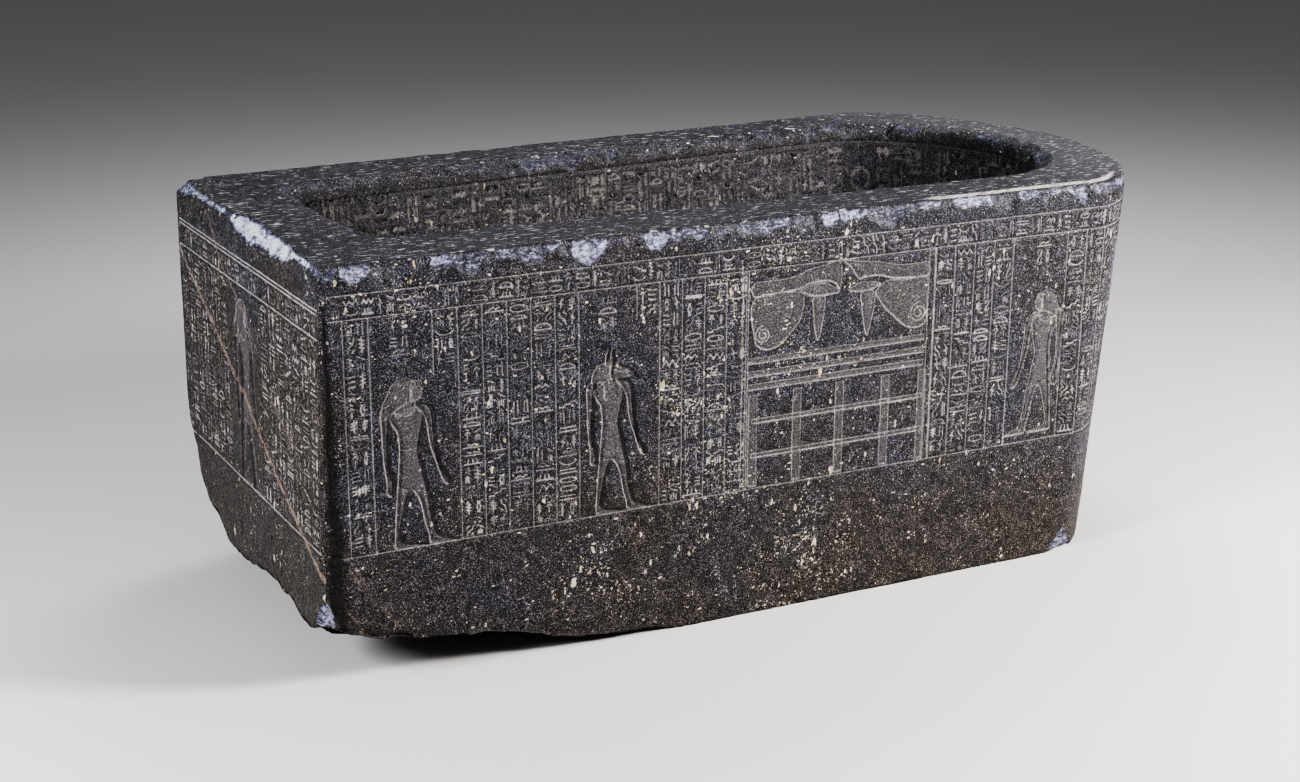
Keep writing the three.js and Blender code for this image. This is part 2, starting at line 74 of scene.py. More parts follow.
RIM_Z = CAD_BOX[1].z
HEAD_TIP_X = 1.384
RIM_LENGTH = 2.740
FOOT_X = HEAD_TIP_X - RIM_LENGTH
FOOT_HALF = 0.638
HEAD_HALF = 0.701
HEAD_REACH = 0.374
HEAD_POWER = 1.75
SIDE_BATTER = 0.017
HEAD_BATTER = 0.083
FOOT_LEAN = 0.028
SPRING_X = HEAD_TIP_X - HEAD_REACH
FOOT_BLEND = 0.045               # the long sides take up the foot end's lean over this run
CORNER_RADIUS_TOP = 0.010
CORNER_RADIUS_LOW = 0.030
CORNER_RADIUS_DROP = 0.75        # the foot corners reach their low radius this far below the rim

FOOT_WALL = 0.250
HEAD_WALL = 0.205
OPENING_FOOT_HALF = 0.369
OPENING_HEAD_HALF = 0.480
OPENING_REACH = 0.388
OPENING_SHIFT = 0.020
OPENING_RADIUS = 0.062
OPENING_SPREAD = 1.5
OPENING_SPRING_X = HEAD_TIP_X - HEAD_WALL - OPENING_REACH
OPENING_FOOT_X = FOOT_X + FOOT_WALL
FLOOR_Z = 0.262
FLOOR_RADIUS = 0.05              # the round between the hollow's walls and its floor
INNER_DRAFT = 0.035

UPPER_LINE_Z = 1.066
LOWER_LINE_Z = 1.003
GROUND_LINE_Z = 0.377
FOOT_UPPER_LINE_Z = 1.030
FOOT_LOWER_LINE_Z = 0.955
FOOT_GROUND_LINE_Z = 0.392
PITCH = 0.067
FIRST_RULE = -1.302
CARVED_FROM_Z = GROUND_LINE_Z - 0.012
CARVED_TO_Z = UPPER_LINE_Z + 0.010

# The broken base: its height along x, then across the foot end, then the far corner's extra loss.
BREAK_ALONG = ((-1.40, 1.04), (-1.32, 0.92), (-1.22, 0.80), (-1.08, 0.75), (-0.92, 0.55), (-0.80, 0.39),
               (-0.73, 0.27), (-0.64, 0.19), (-0.41, 0.06), (-0.36, 0.0))
BREAK_ACROSS = ((-0.64, 0.168), (-0.52, 0.156), (-0.43, 0.156), (-0.33, 0.168), (-0.11, 0.180),
                (0.02, 0.154), (0.14, 0.147), (0.33, 0.183))
CORNER_LOSS = ((0.33, 0.0), (0.43, 0.026), (0.49, 0.076), (0.52, 0.150), (0.575, 0.209),
               (0.607, 0.285), (0.66, 0.350))

RIM_SEAM = 0.045                 # the hollow's own mesh starts this far outside the opening
LIPS = (0.030, 0.014, 0.005)     # how far in under the base the skin's last rows lie
UNDERSIDE_INSET = 0.026          # the underside's mesh starts this far in, so it overlaps the lips

# Roughness of the skin. A pair is a depth on the carved part and one on the plain base.
WAVE_DEPTH = 0.0011
PIT_DEPTHS = (0.0012, 0.0052)
GRAIN_DEPTHS = (0.00018, 0.0008)
RIM_PIT_DEPTH = 0.004
SCALLOP_DEPTH = 0.0042           # hollows in the faces of the outer rim's flakes
INNER_SCALLOP_DEPTH = 0.0063
GROOVE_DEPTH = 0.0085            # the groove worn beside the near foot corner
LEDGE_STEP = 0.0060              # a low step on the rim, near the head
UP = np.array([0.0, 0.0, 1.0])

# The camera stands before the near foot corner and looks a little down.
CAMERA_PLACE = Vector((-2.888, -5.275, 2.307))
CAMERA_AIM = Vector((-0.2196, -0.1970, 0.5482))
CAMERA_ROLL = math.radians(-0.218)
CAMERA_LENS = 56.77              # in millimetres


# --- Small numeric helpers ----------------------------------------------------------------------

def smooth(t):
    """0 below 0, 1 above 1, and 3t^2 - 2t^3 between."""
    t = np.clip(t, 0.0, 1.0)
    return t * t * (3.0 - 2.0 * t)


def lerp(a, b, t):
    """a at 0, b at 1, in a straight line."""
    return a + (b - a) * t


def knots(value, pairs):
    """Straight-line interpolation through pairs of place and height."""
    places, heights = zip(*pairs)
    return np.interp(value, places, heights)


def value_noise(points, seed=0):
    """Smooth noise from -1 to 1: each corner of a unit lattice gets a hashed value, blended inside."""
    base = np.floor(points).astype(np.int64)
    part = points - base
    part = part * part * (3.0 - 2.0 * part)
    total = np.zeros(points.shape[:-1])
    for corner in range(8):
        offset = np.array([corner & 1, corner >> 1 & 1, corner >> 2 & 1])
        cell = (base + offset).astype(np.uint64) & np.uint64(0xFFFFFFFF)
        mixed = cell[..., 0] * np.uint64(73856093) ^ cell[..., 1] * np.uint64(19349663)
        mixed = mixed ^ cell[..., 2] * np.uint64(83492791) ^ np.uint64(seed * 2654435 + 97)
        mixed = (mixed ^ (mixed >> np.uint64(13))) * np.uint64(1274126177) & np.uint64(0xFFFFFFFF)
        mixed = mixed ^ (mixed >> np.uint64(16))
        value = (mixed & np.uint64(0xFFFFFF)).astype(float) / float(0xFFFFFF) * 2.0 - 1.0
        weight = np.where(offset, part, 1.0 - part).prod(axis=-1)
        total += value * weight
    return total


def fractal(points, scale, octaves=3, seed=0):
    """Sum of octaves of value_noise, each twice as fine and half as strong."""
    total = 0.0
    for octave in range(octaves):
        total = total + value_noise(points * scale * 2 ** octave, seed + octave) / 2 ** octave
    return total


def segment_distance(u, v, start, end):
    """Distance from u, v to the straight stretch from start to end, and the nearest point on it."""
    du, dv = end[0] - start[0], end[1] - start[1]
    along = np.clip(((u - start[0]) * du + (v - start[1]) * dv) / (du * du + dv * dv + 1e-12), 0, 1)
    near_u, near_v = start[0] + along * du, start[1] + along * dv
    return np.hypot(u - near_u, v - near_v), near_u, near_v


def curve_table(reach, half, power):
    """Arc length against place along half a superellipse that bulges towards +X."""
    turn = np.linspace(-math.pi / 2, math.pi / 2, 2001)
    x = reach * np.maximum(np.cos(turn), 0.0) ** (2 / power)
    y = half * np.sign(np.sin(turn)) * np.abs(np.sin(turn)) ** (2 / power)
    arc = np.concatenate([[0.0], np.cumsum(np.hypot(np.diff(x), np.diff(y)))])
    return arc, x, y


HEAD_ARC, HEAD_CX, HEAD_CY = curve_table(HEAD_REACH, HEAD_HALF, HEAD_POWER)
INNER_ARC, INNER_CX, INNER_CY = curve_table(OPENING_REACH, OPENING_HEAD_HALF, 2.0)

# Runs along the outline, from the near foot corner: near side, head end, far side, foot end.
SIDE_RUN = SPRING_X - FOOT_X
HEAD_RUN = HEAD_ARC[-1]
FOOT_RUN = 2 * FOOT_HALF
RUN_HEAD = SIDE_RUN
RUN_APEX = SIDE_RUN + HEAD_RUN / 2
RUN_FAR = SIDE_RUN + HEAD_RUN
RUN_FOOT = RUN_FAR + SIDE_RUN
RUN_END = RUN_FOOT + FOOT_RUN

# The runs where the near side's three stretches start and end.
NEAR_CUTS = (0.0, 0.780, 1.590, RUN_HEAD)

# The foot corners: each one's run and its side of the middle line.
FOOT_CORNERS = ((0.0, -1), (RUN_FOOT, 1), (RUN_END, -1))


def round_foot_corners(x, y, run, foot_x, half, radius, spread=1.0):
    """Puts a quarter circle at each foot corner: it turns through 90 degrees as the run goes from
    spread * radius before the corner to as far behind it."""
    for corner, side in FOOT_CORNERS:
        away = (run - corner) / (radius * spread)
        near = np.abs(away) < 1
        angle = (away + 1) * math.pi / 4
        if side < 0:
            arc_x, arc_y = -np.cos(angle), -np.sin(angle)
        else:
            arc_x, arc_y = -np.sin(angle), np.cos(angle)
        x = np.where(near, foot_x + radius + radius * arc_x, x)
        y = np.where(near, side * (half - radius) + radius * arc_y, y)
    return x, y


def half_width(x, z):
    """Half the block's width at x and z: linear along x, drawn in with depth below the rim."""
    along = (x - FOOT_X) / (SPRING_X - FOOT_X)
    return lerp(FOOT_HALF, HEAD_HALF, along) - SIDE_BATTER * (RIM_Z - z)


def outer_point(run, z):
    """Point of the wall at a run and height.

    A run keeps its x on the long sides. Round the head end it slides so that upright lines stay
    upright at both ends of the curve, though the curve leans. The foot corners are arcs whose
    radius grows downwards.
    """
    run, z = np.broadcast_arrays(run, z)
    drop = RIM_Z - z
    lean = HEAD_BATTER * drop
    foot_lean = FOOT_LEAN * drop
    slide = 2.0 * smooth((run - SIDE_RUN) / HEAD_RUN)
    arc = run - lean * slide
    arc = arc - foot_lean * (1 - smooth(run / FOOT_BLEND))
    arc = arc + foot_lean * smooth(1 - (RUN_FOOT - run) / FOOT_BLEND) * (run <= RUN_FOOT)
    spring = SIDE_RUN - lean
    turn = arc - spring
    x_near = FOOT_X + arc
    x_head = SPRING_X - lean + np.interp(turn, HEAD_ARC, HEAD_CX)
    y_head = np.interp(turn, HEAD_ARC, HEAD_CY) / HEAD_HALF * half_width(SPRING_X - lean, z)
    x_far = SPRING_X - lean - (turn - HEAD_RUN)
    stretches = [run > RUN_FOOT, turn < 0, turn < HEAD_RUN]
    half = half_width(FOOT_X, z)
    foot_x = FOOT_X - foot_lean
    foot_y = half * (1 - 2 * (run - RUN_FOOT) / FOOT_RUN)
    x = np.select(stretches, [foot_x, x_near, x_head], x_far)
    y = np.select(stretches, [foot_y, -half_width(x_near, z), y_head], half_width(x_far, z))
    radius = lerp(CORNER_RADIUS_TOP, CORNER_RADIUS_LOW, smooth(drop / CORNER_RADIUS_DROP))
    x, y = round_foot_corners(x, y, run, foot_x, half, radius)
    return np.stack([x, y, z * np.ones_like(x)], axis=-1)


def outward(run, z):
    """Level unit vector out of the wall, square to the outline."""
    step = 0.0015
    ahead = outer_point(np.asarray(run) + step, z)
    behind = outer_point(np.asarray(run) - step, z)
    tangent = ahead - behind
    normal = np.stack([tangent[..., 1], -tangent[..., 0], np.zeros_like(tangent[..., 0])], axis=-1)
    return normal / np.linalg.norm(normal, axis=-1, keepdims=True)


def opening_point(run, z):
    """Point of the hollow's wall that answers to a run on the outline, at height z."""
    run, z = np.broadcast_arrays(run, z)
    draw = INNER_DRAFT * (RIM_Z - z)
    foot = OPENING_FOOT_X + draw
    foot_half = OPENING_FOOT_HALF - draw
    head_half = OPENING_HEAD_HALF - draw
    shrink = 1 - draw / OPENING_REACH
    share = run / SIDE_RUN
    near_x = lerp(foot, OPENING_SPRING_X, share)
    near_y = -lerp(foot_half, head_half, share)
    turn = np.clip((run - RUN_HEAD) / HEAD_RUN, 0, 1) * INNER_ARC[-1]
    head_x = OPENING_SPRING_X + np.interp(turn, INNER_ARC, INNER_CX) * shrink
    head_y = np.interp(turn, INNER_ARC, INNER_CY) / OPENING_HEAD_HALF * head_half
    back = (run - RUN_FAR) / SIDE_RUN
    far_x = lerp(OPENING_SPRING_X, foot, back)
    far_y = lerp(head_half, foot_half, back)
    across = (run - RUN_FOOT) / FOOT_RUN
    stretches = [run < RUN_HEAD, run < RUN_FAR, run < RUN_FOOT]
    x = np.select(stretches, [near_x, head_x, far_x], foot)
    y = np.select(stretches, [near_y, head_y, far_y], foot_half * (1 - 2 * across))
    x, y = round_foot_corners(x, y, run, foot, foot_half, OPENING_RADIUS, OPENING_SPREAD)
    return np.stack([x, y + OPENING_SHIFT, z * np.ones_like(x)], axis=-1)


def break_height(point):
    """Height of the broken underside: a smooth climb to the foot end, steeper at the far corner."""
    x, y = point[..., 0], point[..., 1]
    climb = knots(x, BREAK_ALONG) * knots(y, BREAK_ACROSS)
    climb = climb + knots(y, CORNER_LOSS) * smooth((-x - 0.90) / 0.45)
    flat = np.stack([x, y, np.zeros_like(x)], axis=-1)
    rough = 0.013 * fractal(flat, 9.0, 4, seed=11)
    return np.maximum(climb + rough * np.clip(climb / 0.05, 0, 1), 0.0)


def base_height(runs):
    """Height of the skin's lower edge at each run, found in two steps because the wall leans."""
    bottom = np.zeros_like(runs)
    for _ in range(2):
        bottom = break_height(outer_point(runs, bottom))
    return bottom


# --- Flakes along the rim's edges ---------------------------------------------------------------

def flake_row(seed, length, mean_span, inset, drop, extra=()):
    """Overlapping flakes along an edge, as rows of centre, half span, inset, drop and paleness."""
    rng = np.random.default_rng(seed)
    rows = []
    place = 0.0
    while place < length:
        span = mean_span * rng.uniform(0.35, 1.7)
        size = rng.uniform(0.45, 1.35)
        pale = rng.random() ** 1.5
        flake_inset = inset * size * rng.uniform(0.7, 1.3)
        flake_drop = drop * size * rng.uniform(0.7, 1.2)
        rows.append((place, span, flake_inset, flake_drop, pale))
        place += span * rng.uniform(0.6, 1.2)
    return rows + list(extra)


def flake_size(run, rows):
    """Inset, drop and paleness of the deepest flake at each run: each flake is a half ellipse along
    the edge, and the narrow ones are pointed."""
    inset = 0.006 + 0.002 * np.sin(run * 61) * np.sin(run * 23)
    drop = 0.012 + 0.005 * np.sin(run * 47) * np.sin(run * 19)
    pale = np.full(run.shape, 0.35)
    for centre, span, flake_inset, flake_drop, flake_pale in rows:
        away = np.abs(run - centre)
        away = np.minimum(away, RUN_END - away) / span
        ragged = 1 + 0.16 * np.sin(run * 97 + centre * 40) * np.sin(run * 41)
        bow = np.clip(1 - away ** 2, 0, None) ** 0.6 * ragged
        deeper = flake_drop * bow > drop
        pale = np.where(deeper, flake_pale, pale)
        inset = np.maximum(inset, flake_inset * bow)
        drop = np.maximum(drop, flake_drop * bow)
    return inset, drop, pale


# The foot end's edge has one long pale break, fresh stone with painted glare; elsewhere the flakes follow
# each other at random.
OUTER_FLAKES = flake_row(5, RUN_FOOT - 0.05, 0.050, 0.013, 0.044, extra=(
    (1.32, 0.13, 0.013, 0.026, 0.70), (1.52, 0.12, 0.015, 0.030, 0.85), (1.73, 0.15, 0.012, 0.024, 0.75),
    (1.93, 0.12, 0.017, 0.034, 0.90), (2.12, 0.14, 0.014, 0.028, 0.80), (2.32, 0.12, 0.016, 0.032, 0.90),
    (2.50, 0.13, 0.012, 0.024, 0.75), (0.72, 0.10, 0.012, 0.024, 0.70), (0.30, 0.07, 0.014, 0.030, 0.85),
    (RUN_END - 0.09, 0.16, 0.013, 0.016, 1.0), (RUN_END - 0.35, 0.17, 0.036, 0.046, 1.0),
    (RUN_END - 0.57, 0.17, 0.042, 0.052, 1.0), (RUN_END - 0.84, 0.20, 0.013, 0.014, 0.95),
    (RUN_FOOT + 0.24, 0.22, 0.016, 0.015, 0.90), (RUN_FOOT + 0.05, 0.13, 0.050, 0.040, 0.65),
))
INNER_FLAKES = flake_row(9, RUN_END, 0.060, 0.012, 0.040)

# The middle of a worn, bluish patch on the head end: its run and height.
WORN_PATCH = (RUN_HEAD + 0.17, 0.90)

# A ring cut on the hollow's curved end: its run, height and radius.
INNER_RING = (RUN_APEX + 0.66, 0.957, 0.040)

# Lumps broken off the corners: a point on each break's face, the way it looks, and its paleness, which is
# painted as fresh crystal and glare both.
BITES = (
    ((-1.352, -0.612, 0.222), (-0.80, -0.52, -0.38), 0.75),
    ((-1.345, -0.560, 0.165), (-0.45, -0.35, -0.82), 0.0),
    ((0.985, -0.659, 0.040), (0.25, -0.93, -0.27), 0.65),
)
BITE_REACH = 0.16
BITE_ROUGHNESS = 0.006


def bite_corners(points):
    """Brings points beyond each break's face back onto it, roughened, and says how far they moved."""
    moved = np.zeros(points.shape[:-1])
    for place, way, pale in BITES:
        way = np.array(way) / np.linalg.norm(way)
        beyond = (points - np.array(place)) @ way
        near = np.linalg.norm(points - np.array(place), axis=-1) < BITE_REACH
        beyond = np.where(near, beyond + BITE_ROUGHNESS * fractal(points, 30.0, 3, seed=77), 0)
        points = points - np.clip(beyond, 0, None)[..., None] * way
        moved = np.maximum(moved, pale * smooth(beyond / 0.008))
    return points, moved


# --- Carving on a grid of runs and heights ------------------------------------------------------

class Relief:
    """Carving gathered on a grid: how deep each point goes, how pale it is, and a small slide along
    the wall that puts the nearest points exactly on a cut line, which keeps thin lines crisp."""

    def __init__(self, runs, heights):
        self.runs = runs
        self.z = heights
        self.depth = np.zeros(heights.shape)
        self.groove = np.zeros(heights.shape)
        self.cut = np.zeros(heights.shape)
        self.dressed = np.zeros(heights.shape)
        self.vein = np.zeros(heights.shape)
        # painted shade: how dark each point is painted where shade would fall
        self.painted_shade = np.zeros(heights.shape)
        self.best = np.full(heights.shape, 1e9)
        self.slide = np.zeros(heights.shape + (2,))
        self.step = float(np.median(np.diff(runs)))

    def window(self, run0, run1, z0, z1, margin):
        """Slices of the grid that cover a rectangle of the wall."""
        first, last = np.searchsorted(self.runs, [run0 - margin, run1 + margin])
        if last - first < 1:
            return None
        heights = self.z[:, first:last]
        inside = ((heights > z0 - margin) & (heights < z1 + margin)).any(axis=1)
        rows = np.flatnonzero(inside)
        if len(rows) == 0:
            return None
        return slice(rows[0], rows[-1] + 1), slice(first, last)

    def pull(self, area, away, near_u, near_v, reach):
        """Slides points within reach of a line onto it, where no other line is nearer, and says
        which points lie within reach."""
        grip = away < reach
        closer = grip & (away < self.best[area])
        slide = np.stack([near_u - self.runs[area[1]][None, :], near_v - self.z[area]], -1)
        self.best[area] = np.where(closer, away, self.best[area])
        self.slide[area] = np.where(closer[..., None], slide, self.slide[area])
        return grip

    def along_line(self, points, margin):
        """For each stretch of a polyline: the grid near it, its distance and the nearest point."""
        for (run0, z0), (run1, z1) in zip(points[:-1], points[1:]):
            area = self.window(min(run0, run1), max(run0, run1), min(z0, z1), max(z0, z1), margin)
            if area is not None:
                u, v = self.runs[area[1]][None, :], self.z[area]
                yield area, *segment_distance(u, v, (run0, z0), (run1, z1))

    def stroke(self, points, depth=0.0022, tone=1.0):
        """A V-shaped cut along a polyline: full depth on the line, none a grid step away from it."""
        reach = self.step * 1.25
        for area, away, near_u, near_v in self.along_line(points, reach * 1.6):
            grip = self.pull(area, away, near_u, near_v, self.step * 0.56)
            fall = np.where(grip, 1.0, np.clip(1 - away / reach, 0, 1))
            self.groove[area] = np.maximum(self.groove[area], depth * fall)
            self.cut[area] = np.maximum(self.cut[area], tone * fall)

    def streak(self, points, width, tone=1.0):
        """A mineral vein along a polyline: colour only, strongest in its middle."""
        for area, away, _, _ in self.along_line(points, width * 2):
            self.vein[area] = np.maximum(self.vein[area], tone * smooth(1.4 - away / width))

    def sink(self, outline, edge=0.006, floor=0.0015, round_run=0.016, dressed=1.0, rim=0.8, lit_side=0):
        """A sunk shape: its edge drops steeply, then the inside swells back like a rounded body.
        The edges that look towards the lit side (1 or -1) get a painted highlight and the opposite ones a
        painted shadow; 0 leaves every edge pale."""
        outline = np.asarray(outline, float)
        low, high = outline.min(0), outline.max(0)
        area = self.window(low[0], high[0], low[1], high[1], self.step * 2)
        if area is None:
            return
        u = np.broadcast_to(self.runs[area[1]][None, :], self.z[area].shape)
        v = self.z[area]
        away, near_u, near_v, facing = outline_distance(u, v, outline)
        inside = away < 0
        deep = -away
        body = lerp(edge, floor, np.sin(np.clip(deep / round_run, 0, 1) * math.pi / 2))
        body = body * smooth(deep / (self.step * 1.05))
        before = self.depth[area]
        shallower = np.minimum(before, body + 0.0008)
        deeper = np.maximum(before, np.where(inside, body, 0))
        self.depth[area] = np.where(inside & (before > 0), shallower, deeper)
        self.pull(area, np.abs(away), near_u, near_v, self.step * 0.5)
        band = np.clip(1.2 - np.abs(away) / (self.step * 1.1), 0, 1)
        # painted highlight and painted shadow: edges facing the lit side get a pale line, the opposite
        # edges a dark one
        painted_highlight = np.clip(0.45 + lit_side * facing, 0.1, 1) if lit_side else 1.0
        self.cut[area] = np.maximum(self.cut[area], rim * painted_highlight * band)
        self.painted_shade[area] = np.maximum(self.painted_shade[area], 0.9 * np.clip(-lit_side * facing, 0, 1) * band)
        self.dressed[area] = np.maximum(self.dressed[area], dressed * inside)


def outline_distance(u, v, outline):
    """Distance to a closed outline, negative inside, the nearest point on it, and how far that
    stretch of the outline looks along +u (1) or -u (-1)."""
    best = np.full(u.shape, 1e9)
    near_u = np.zeros(u.shape)
    near_v = np.zeros(u.shape)
    facing = np.zeros(u.shape)
    inside = np.zeros(u.shape, bool)
    ahead = np.roll(outline, -1, axis=0)
    turning = math.copysign(1.0, np.sum(outline[:, 0] * ahead[:, 1] - ahead[:, 0] * outline[:, 1]))
    for (u0, v0), (u1, v1) in zip(outline, ahead):
        du, dv = u1 - u0, v1 - v0
        away, pu, pv = segment_distance(u, v, (u0, v0), (u1, v1))
        closer = away < best
        facing = np.where(closer, turning * dv / (math.hypot(du, dv) + 1e-9), facing)
        best = np.where(closer, away, best)
        near_u = np.where(closer, pu, near_u)
        near_v = np.where(closer, pv, near_v)
        if v0 != v1:
            inside ^= ((v0 > v) != (v1 > v)) & (u < du * (v - v0) / dv + u0)
    return np.where(inside, -best, best), near_u, near_v, facing


def rounded(points, steps=5):
    """A closed outline through the points, curved between them (Catmull-Rom)."""
    points = np.asarray(points, float)
    t = np.linspace(0, 1, steps, endpoint=False)[:, None]
    out = []
    for i in range(len(points)):
        a, b, c, d = (points[(i + k) % len(points)] for k in (-1, 0, 1, 2))
        square, cube = 2 * a - 5 * b + 4 * c - d, 3 * b - a - 3 * c + d
        out.append(0.5 * (2 * b + (c - a) * t + square * t ** 2 + cube * t ** 3))
    return np.concatenate(out)


# --- Marks: rows of strokes that stand in for the inscription ------------------------------------

def arc_points(cx, cy, rx, ry, start, end, steps=6):
    """Points of an ellipse about cx, cy, from one angle to another, in degrees."""
    turn = np.radians(np.linspace(start, end, steps + 1))
    return np.stack([cx + rx * np.cos(turn), cy + ry * np.sin(turn)], -1)


# Low, wide groups of strokes in a unit box: bars, bows, ticks, a zigzag, a comb and a stepped line.
ZIGZAG = np.stack([np.linspace(0, 1, 6), 0.5 + 0.35 * (-1.0) ** np.arange(6)], -1)
WIDE_MARKS = (
    [[(0, 0.2), (1, 0.25)], [(0.05, 0.75), (0.95, 0.8)]],
    [arc_points(0.5, 0.1, 0.48, 0.8, 10, 170), [(0.02, 0.1), (0.98, 0.1)]],
    [arc_points(0.5, 0.9, 0.48, 0.75, 190, 350)],
    [[(0, 0.15), (1, 0.2)], [(0.2, 0.6), (0.45, 0.9)], [(0.55, 0.6), (0.8, 0.9)]],
    [ZIGZAG],
    [[(0.0, 0.15), (1.0, 0.15)], [(0.2, 0.15), (0.25, 0.9)], [(0.5, 0.15), (0.5, 0.9)],
     [(0.8, 0.15), (0.7, 0.9)]],
    [[(0.05, 0.9), (0.3, 0.85), (0.35, 0.5), (0.65, 0.5), (0.7, 0.1), (1, 0.1)]],
    [arc_points(0.5, 0.5, 0.5, 0.42, 15, 165), arc_points(0.5, 0.5, 0.5, 0.42, 195, 345)],
)

# Narrow, upright groups of strokes in a unit box: bent stems, barred stems and stacked ticks.
TALL_MARKS = (
    [[(0.3, 0), (0.45, 0.35), (0.4, 0.7), (0.7, 1)], [(0.1, 0.55), (0.75, 0.45)]],
    [[(0.5, 0), (0.5, 1)], [(0.15, 0.75), (0.85, 0.85)], [(0.15, 0.5), (0.85, 0.6)],
     [(0.15, 0.25), (0.85, 0.35)]],
    [[(0.1, 0.15), (0.9, 0.1)], [(0.1, 0.5), (0.9, 0.45)], [(0.1, 0.85), (0.9, 0.8)]],
    [[(0.1, 1), (0.25, 0.6), (0.7, 0.4), (0.85, 0)], [(0.1, 0.2), (0.35, 0)], [(0.6, 1), (0.9, 0.8)]],
    [[(0.2, 0), (0.25, 1)], [(0.75, 0.05), (0.7, 0.9)]],
    [arc_points(1.0, 0.5, 0.7, 0.5, 120, 240), arc_points(0.0, 0.5, 0.7, 0.5, -60, 60)],
    [[(0.2, 0), (0.2, 0.4)], [(0.5, 0.1), (0.5, 0.5)], [(0.8, 0), (0.8, 0.4)],
     [(0.1, 0.7), (0.9, 0.95)]],
    [[(0.5, 0), (0.5, 0.45)], [(0.2, 0.6), (0.45, 0.75)], [(0.55, 0.75), (0.85, 0.6)],
     [(0.3, 1), (0.7, 0.95)]],
)


def wide_mark(rng):
    """One of the wide marks; a zigzag may lose its first stroke."""
    mark = WIDE_MARKS[rng.integers(0, len(WIDE_MARKS))]
    if mark[0] is ZIGZAG:
        return [ZIGZAG[rng.integers(0, 2):]]
    return mark


def tall_mark(rng):
    """One of the tall marks."""
    return TALL_MARKS[rng.integers(0, len(TALL_MARKS))]


def put_mark(relief, mark, run, z, width, height, depth, flip, tone=1.0):
    """Cuts a mark, scaled from its unit box to a width and height, and turned about if flip is true."""
    for line in mark:
        line = np.asarray(line, float)
        u = 1 - line[:, 0] if flip else line[:, 0]
        relief.stroke(np.stack([run + u * width, z + line[:, 1] * height], -1), depth, tone=tone)


MARK_DEPTH = 0.0021
MARK_MARGIN = 0.009              # between a mark and the rules on both sides


def text_column(relief, rng, run, width, low, high, depth=MARK_DEPTH, tone=1.0):
    """Marks stacked down one ruled column: one wide, or two narrow side by side, to a row."""
    z = high - 0.010
    inner = width - 2 * MARK_MARGIN
    left = run + MARK_MARGIN
    while z - 0.018 > low:
        shade = tone * rng.uniform(0.45, 0.95)
        if rng.random() < 0.5:
            height = min(rng.uniform(0.011, 0.024), z - low - 0.004)
            flip = rng.random() < 0.5
            put_mark(relief, wide_mark(rng), left, z - height, inner, height, depth, flip, shade)
        else:
            height = min(rng.uniform(0.026, 0.042), z - low - 0.004)
            split = rng.uniform(0.35, 0.65)
            for side in range(2):
                mark = tall_mark(rng)
                start = left + side * (inner * split + 0.004)
                narrow = inner * (split if side == 0 else 1 - split) - 0.004
                flip = rng.random() < 0.5
                put_mark(relief, mark, start, z - height, narrow, height, depth, flip, shade)
        z -= height + rng.uniform(0.006, 0.010)


def text_row(relief, rng, start, end, low, high):
    """Marks along a level band, a tall one or two low ones to a place."""
    run = start
    tall = high - low - 2 * MARK_MARGIN
    while run < end - 0.03:
        width = rng.uniform(0.014, 0.024)
        shade = rng.uniform(0.45, 0.95)
        if rng.random() < 0.6:
            mark = tall_mark(rng)
            flip = rng.random() < 0.5
            put_mark(relief, mark, run, low + MARK_MARGIN, width, tall, MARK_DEPTH, flip, shade)
        else:
            width = rng.uniform(0.030, 0.042)
            for level in (0, 1):
                mark = wide_mark(rng)
                flip = rng.random() < 0.5
                start = low + MARK_MARGIN + level * (tall / 2 + 0.003)
                put_mark(relief, mark, run, start, width, tall / 2 - 0.006, MARK_DEPTH, flip, shade)
        run += width + 0.008


# --- Figures ------------------------------------------------------------------------------------

# Outlines in a figure's own height, feet at 0, facing +u.
BODY = [(-0.108, 0.80), (-0.100, 0.74), (-0.075, 0.70), (-0.064, 0.60), (-0.070, 0.50), (-0.080, 0.38),
        (-0.096, 0.21), (-0.106, 0.04), (-0.098, 0.004), (-0.02, 0.0), (0.075, 0.0), (0.05, 0.016),
        (-0.036, 0.030), (-0.064, 0.06), (-0.060, 0.12), (-0.042, 0.20), (-0.012, 0.31),
        (0.018, 0.328), (0.052, 0.26), (0.077, 0.13), (0.098, 0.057), (0.110, 0.004), (0.19, 0.0),
        (0.268, 0.002), (0.225, 0.022), (0.165, 0.05), (0.146, 0.093), (0.130, 0.156), (0.120, 0.225),
        (0.114, 0.30), (0.098, 0.37), (0.078, 0.465), (0.058, 0.575), (0.072, 0.65), (0.088, 0.742),
        (0.080, 0.82), (0.0, 0.86)]
BACK_ARM = [(-0.105, 0.85), (-0.148, 0.846), (-0.166, 0.815), (-0.164, 0.72), (-0.161, 0.60),
            (-0.155, 0.50), (-0.143, 0.40), (-0.146, 0.345), (-0.125, 0.322), (-0.100, 0.335),
            (-0.094, 0.385), (-0.112, 0.46), (-0.120, 0.544), (-0.119, 0.66), (-0.110, 0.78)]
FRONT_ARM = [(0.03, 0.855), (0.09, 0.848), (0.130, 0.828), (0.149, 0.77), (0.153, 0.70), (0.163, 0.59),
             (0.182, 0.47), (0.207, 0.425), (0.240, 0.357), (0.218, 0.342), (0.186, 0.382),
             (0.150, 0.496), (0.126, 0.569), (0.112, 0.64), (0.101, 0.736), (0.075, 0.80)]
WIG = [(0.034, 0.985), (0.040, 0.962), (0.026, 0.940), (0.020, 0.905), (0.030, 0.865), (0.036, 0.830),
       (0.010, 0.792), (-0.030, 0.785), (-0.060, 0.800), (-0.110, 0.805), (-0.146, 0.778),
       (-0.170, 0.782), (-0.166, 0.830), (-0.150, 0.875), (-0.128, 0.915), (-0.112, 0.955),
       (-0.074, 0.990), (-0.020, 1.005)]
FACE = [(0.014, 0.868), (0.012, 0.945), (0.036, 0.988), (0.060, 0.974), (0.066, 0.953), (0.083, 0.931),
        (0.073, 0.922), (0.077, 0.909), (0.070, 0.896), (0.058, 0.880), (0.040, 0.868)]
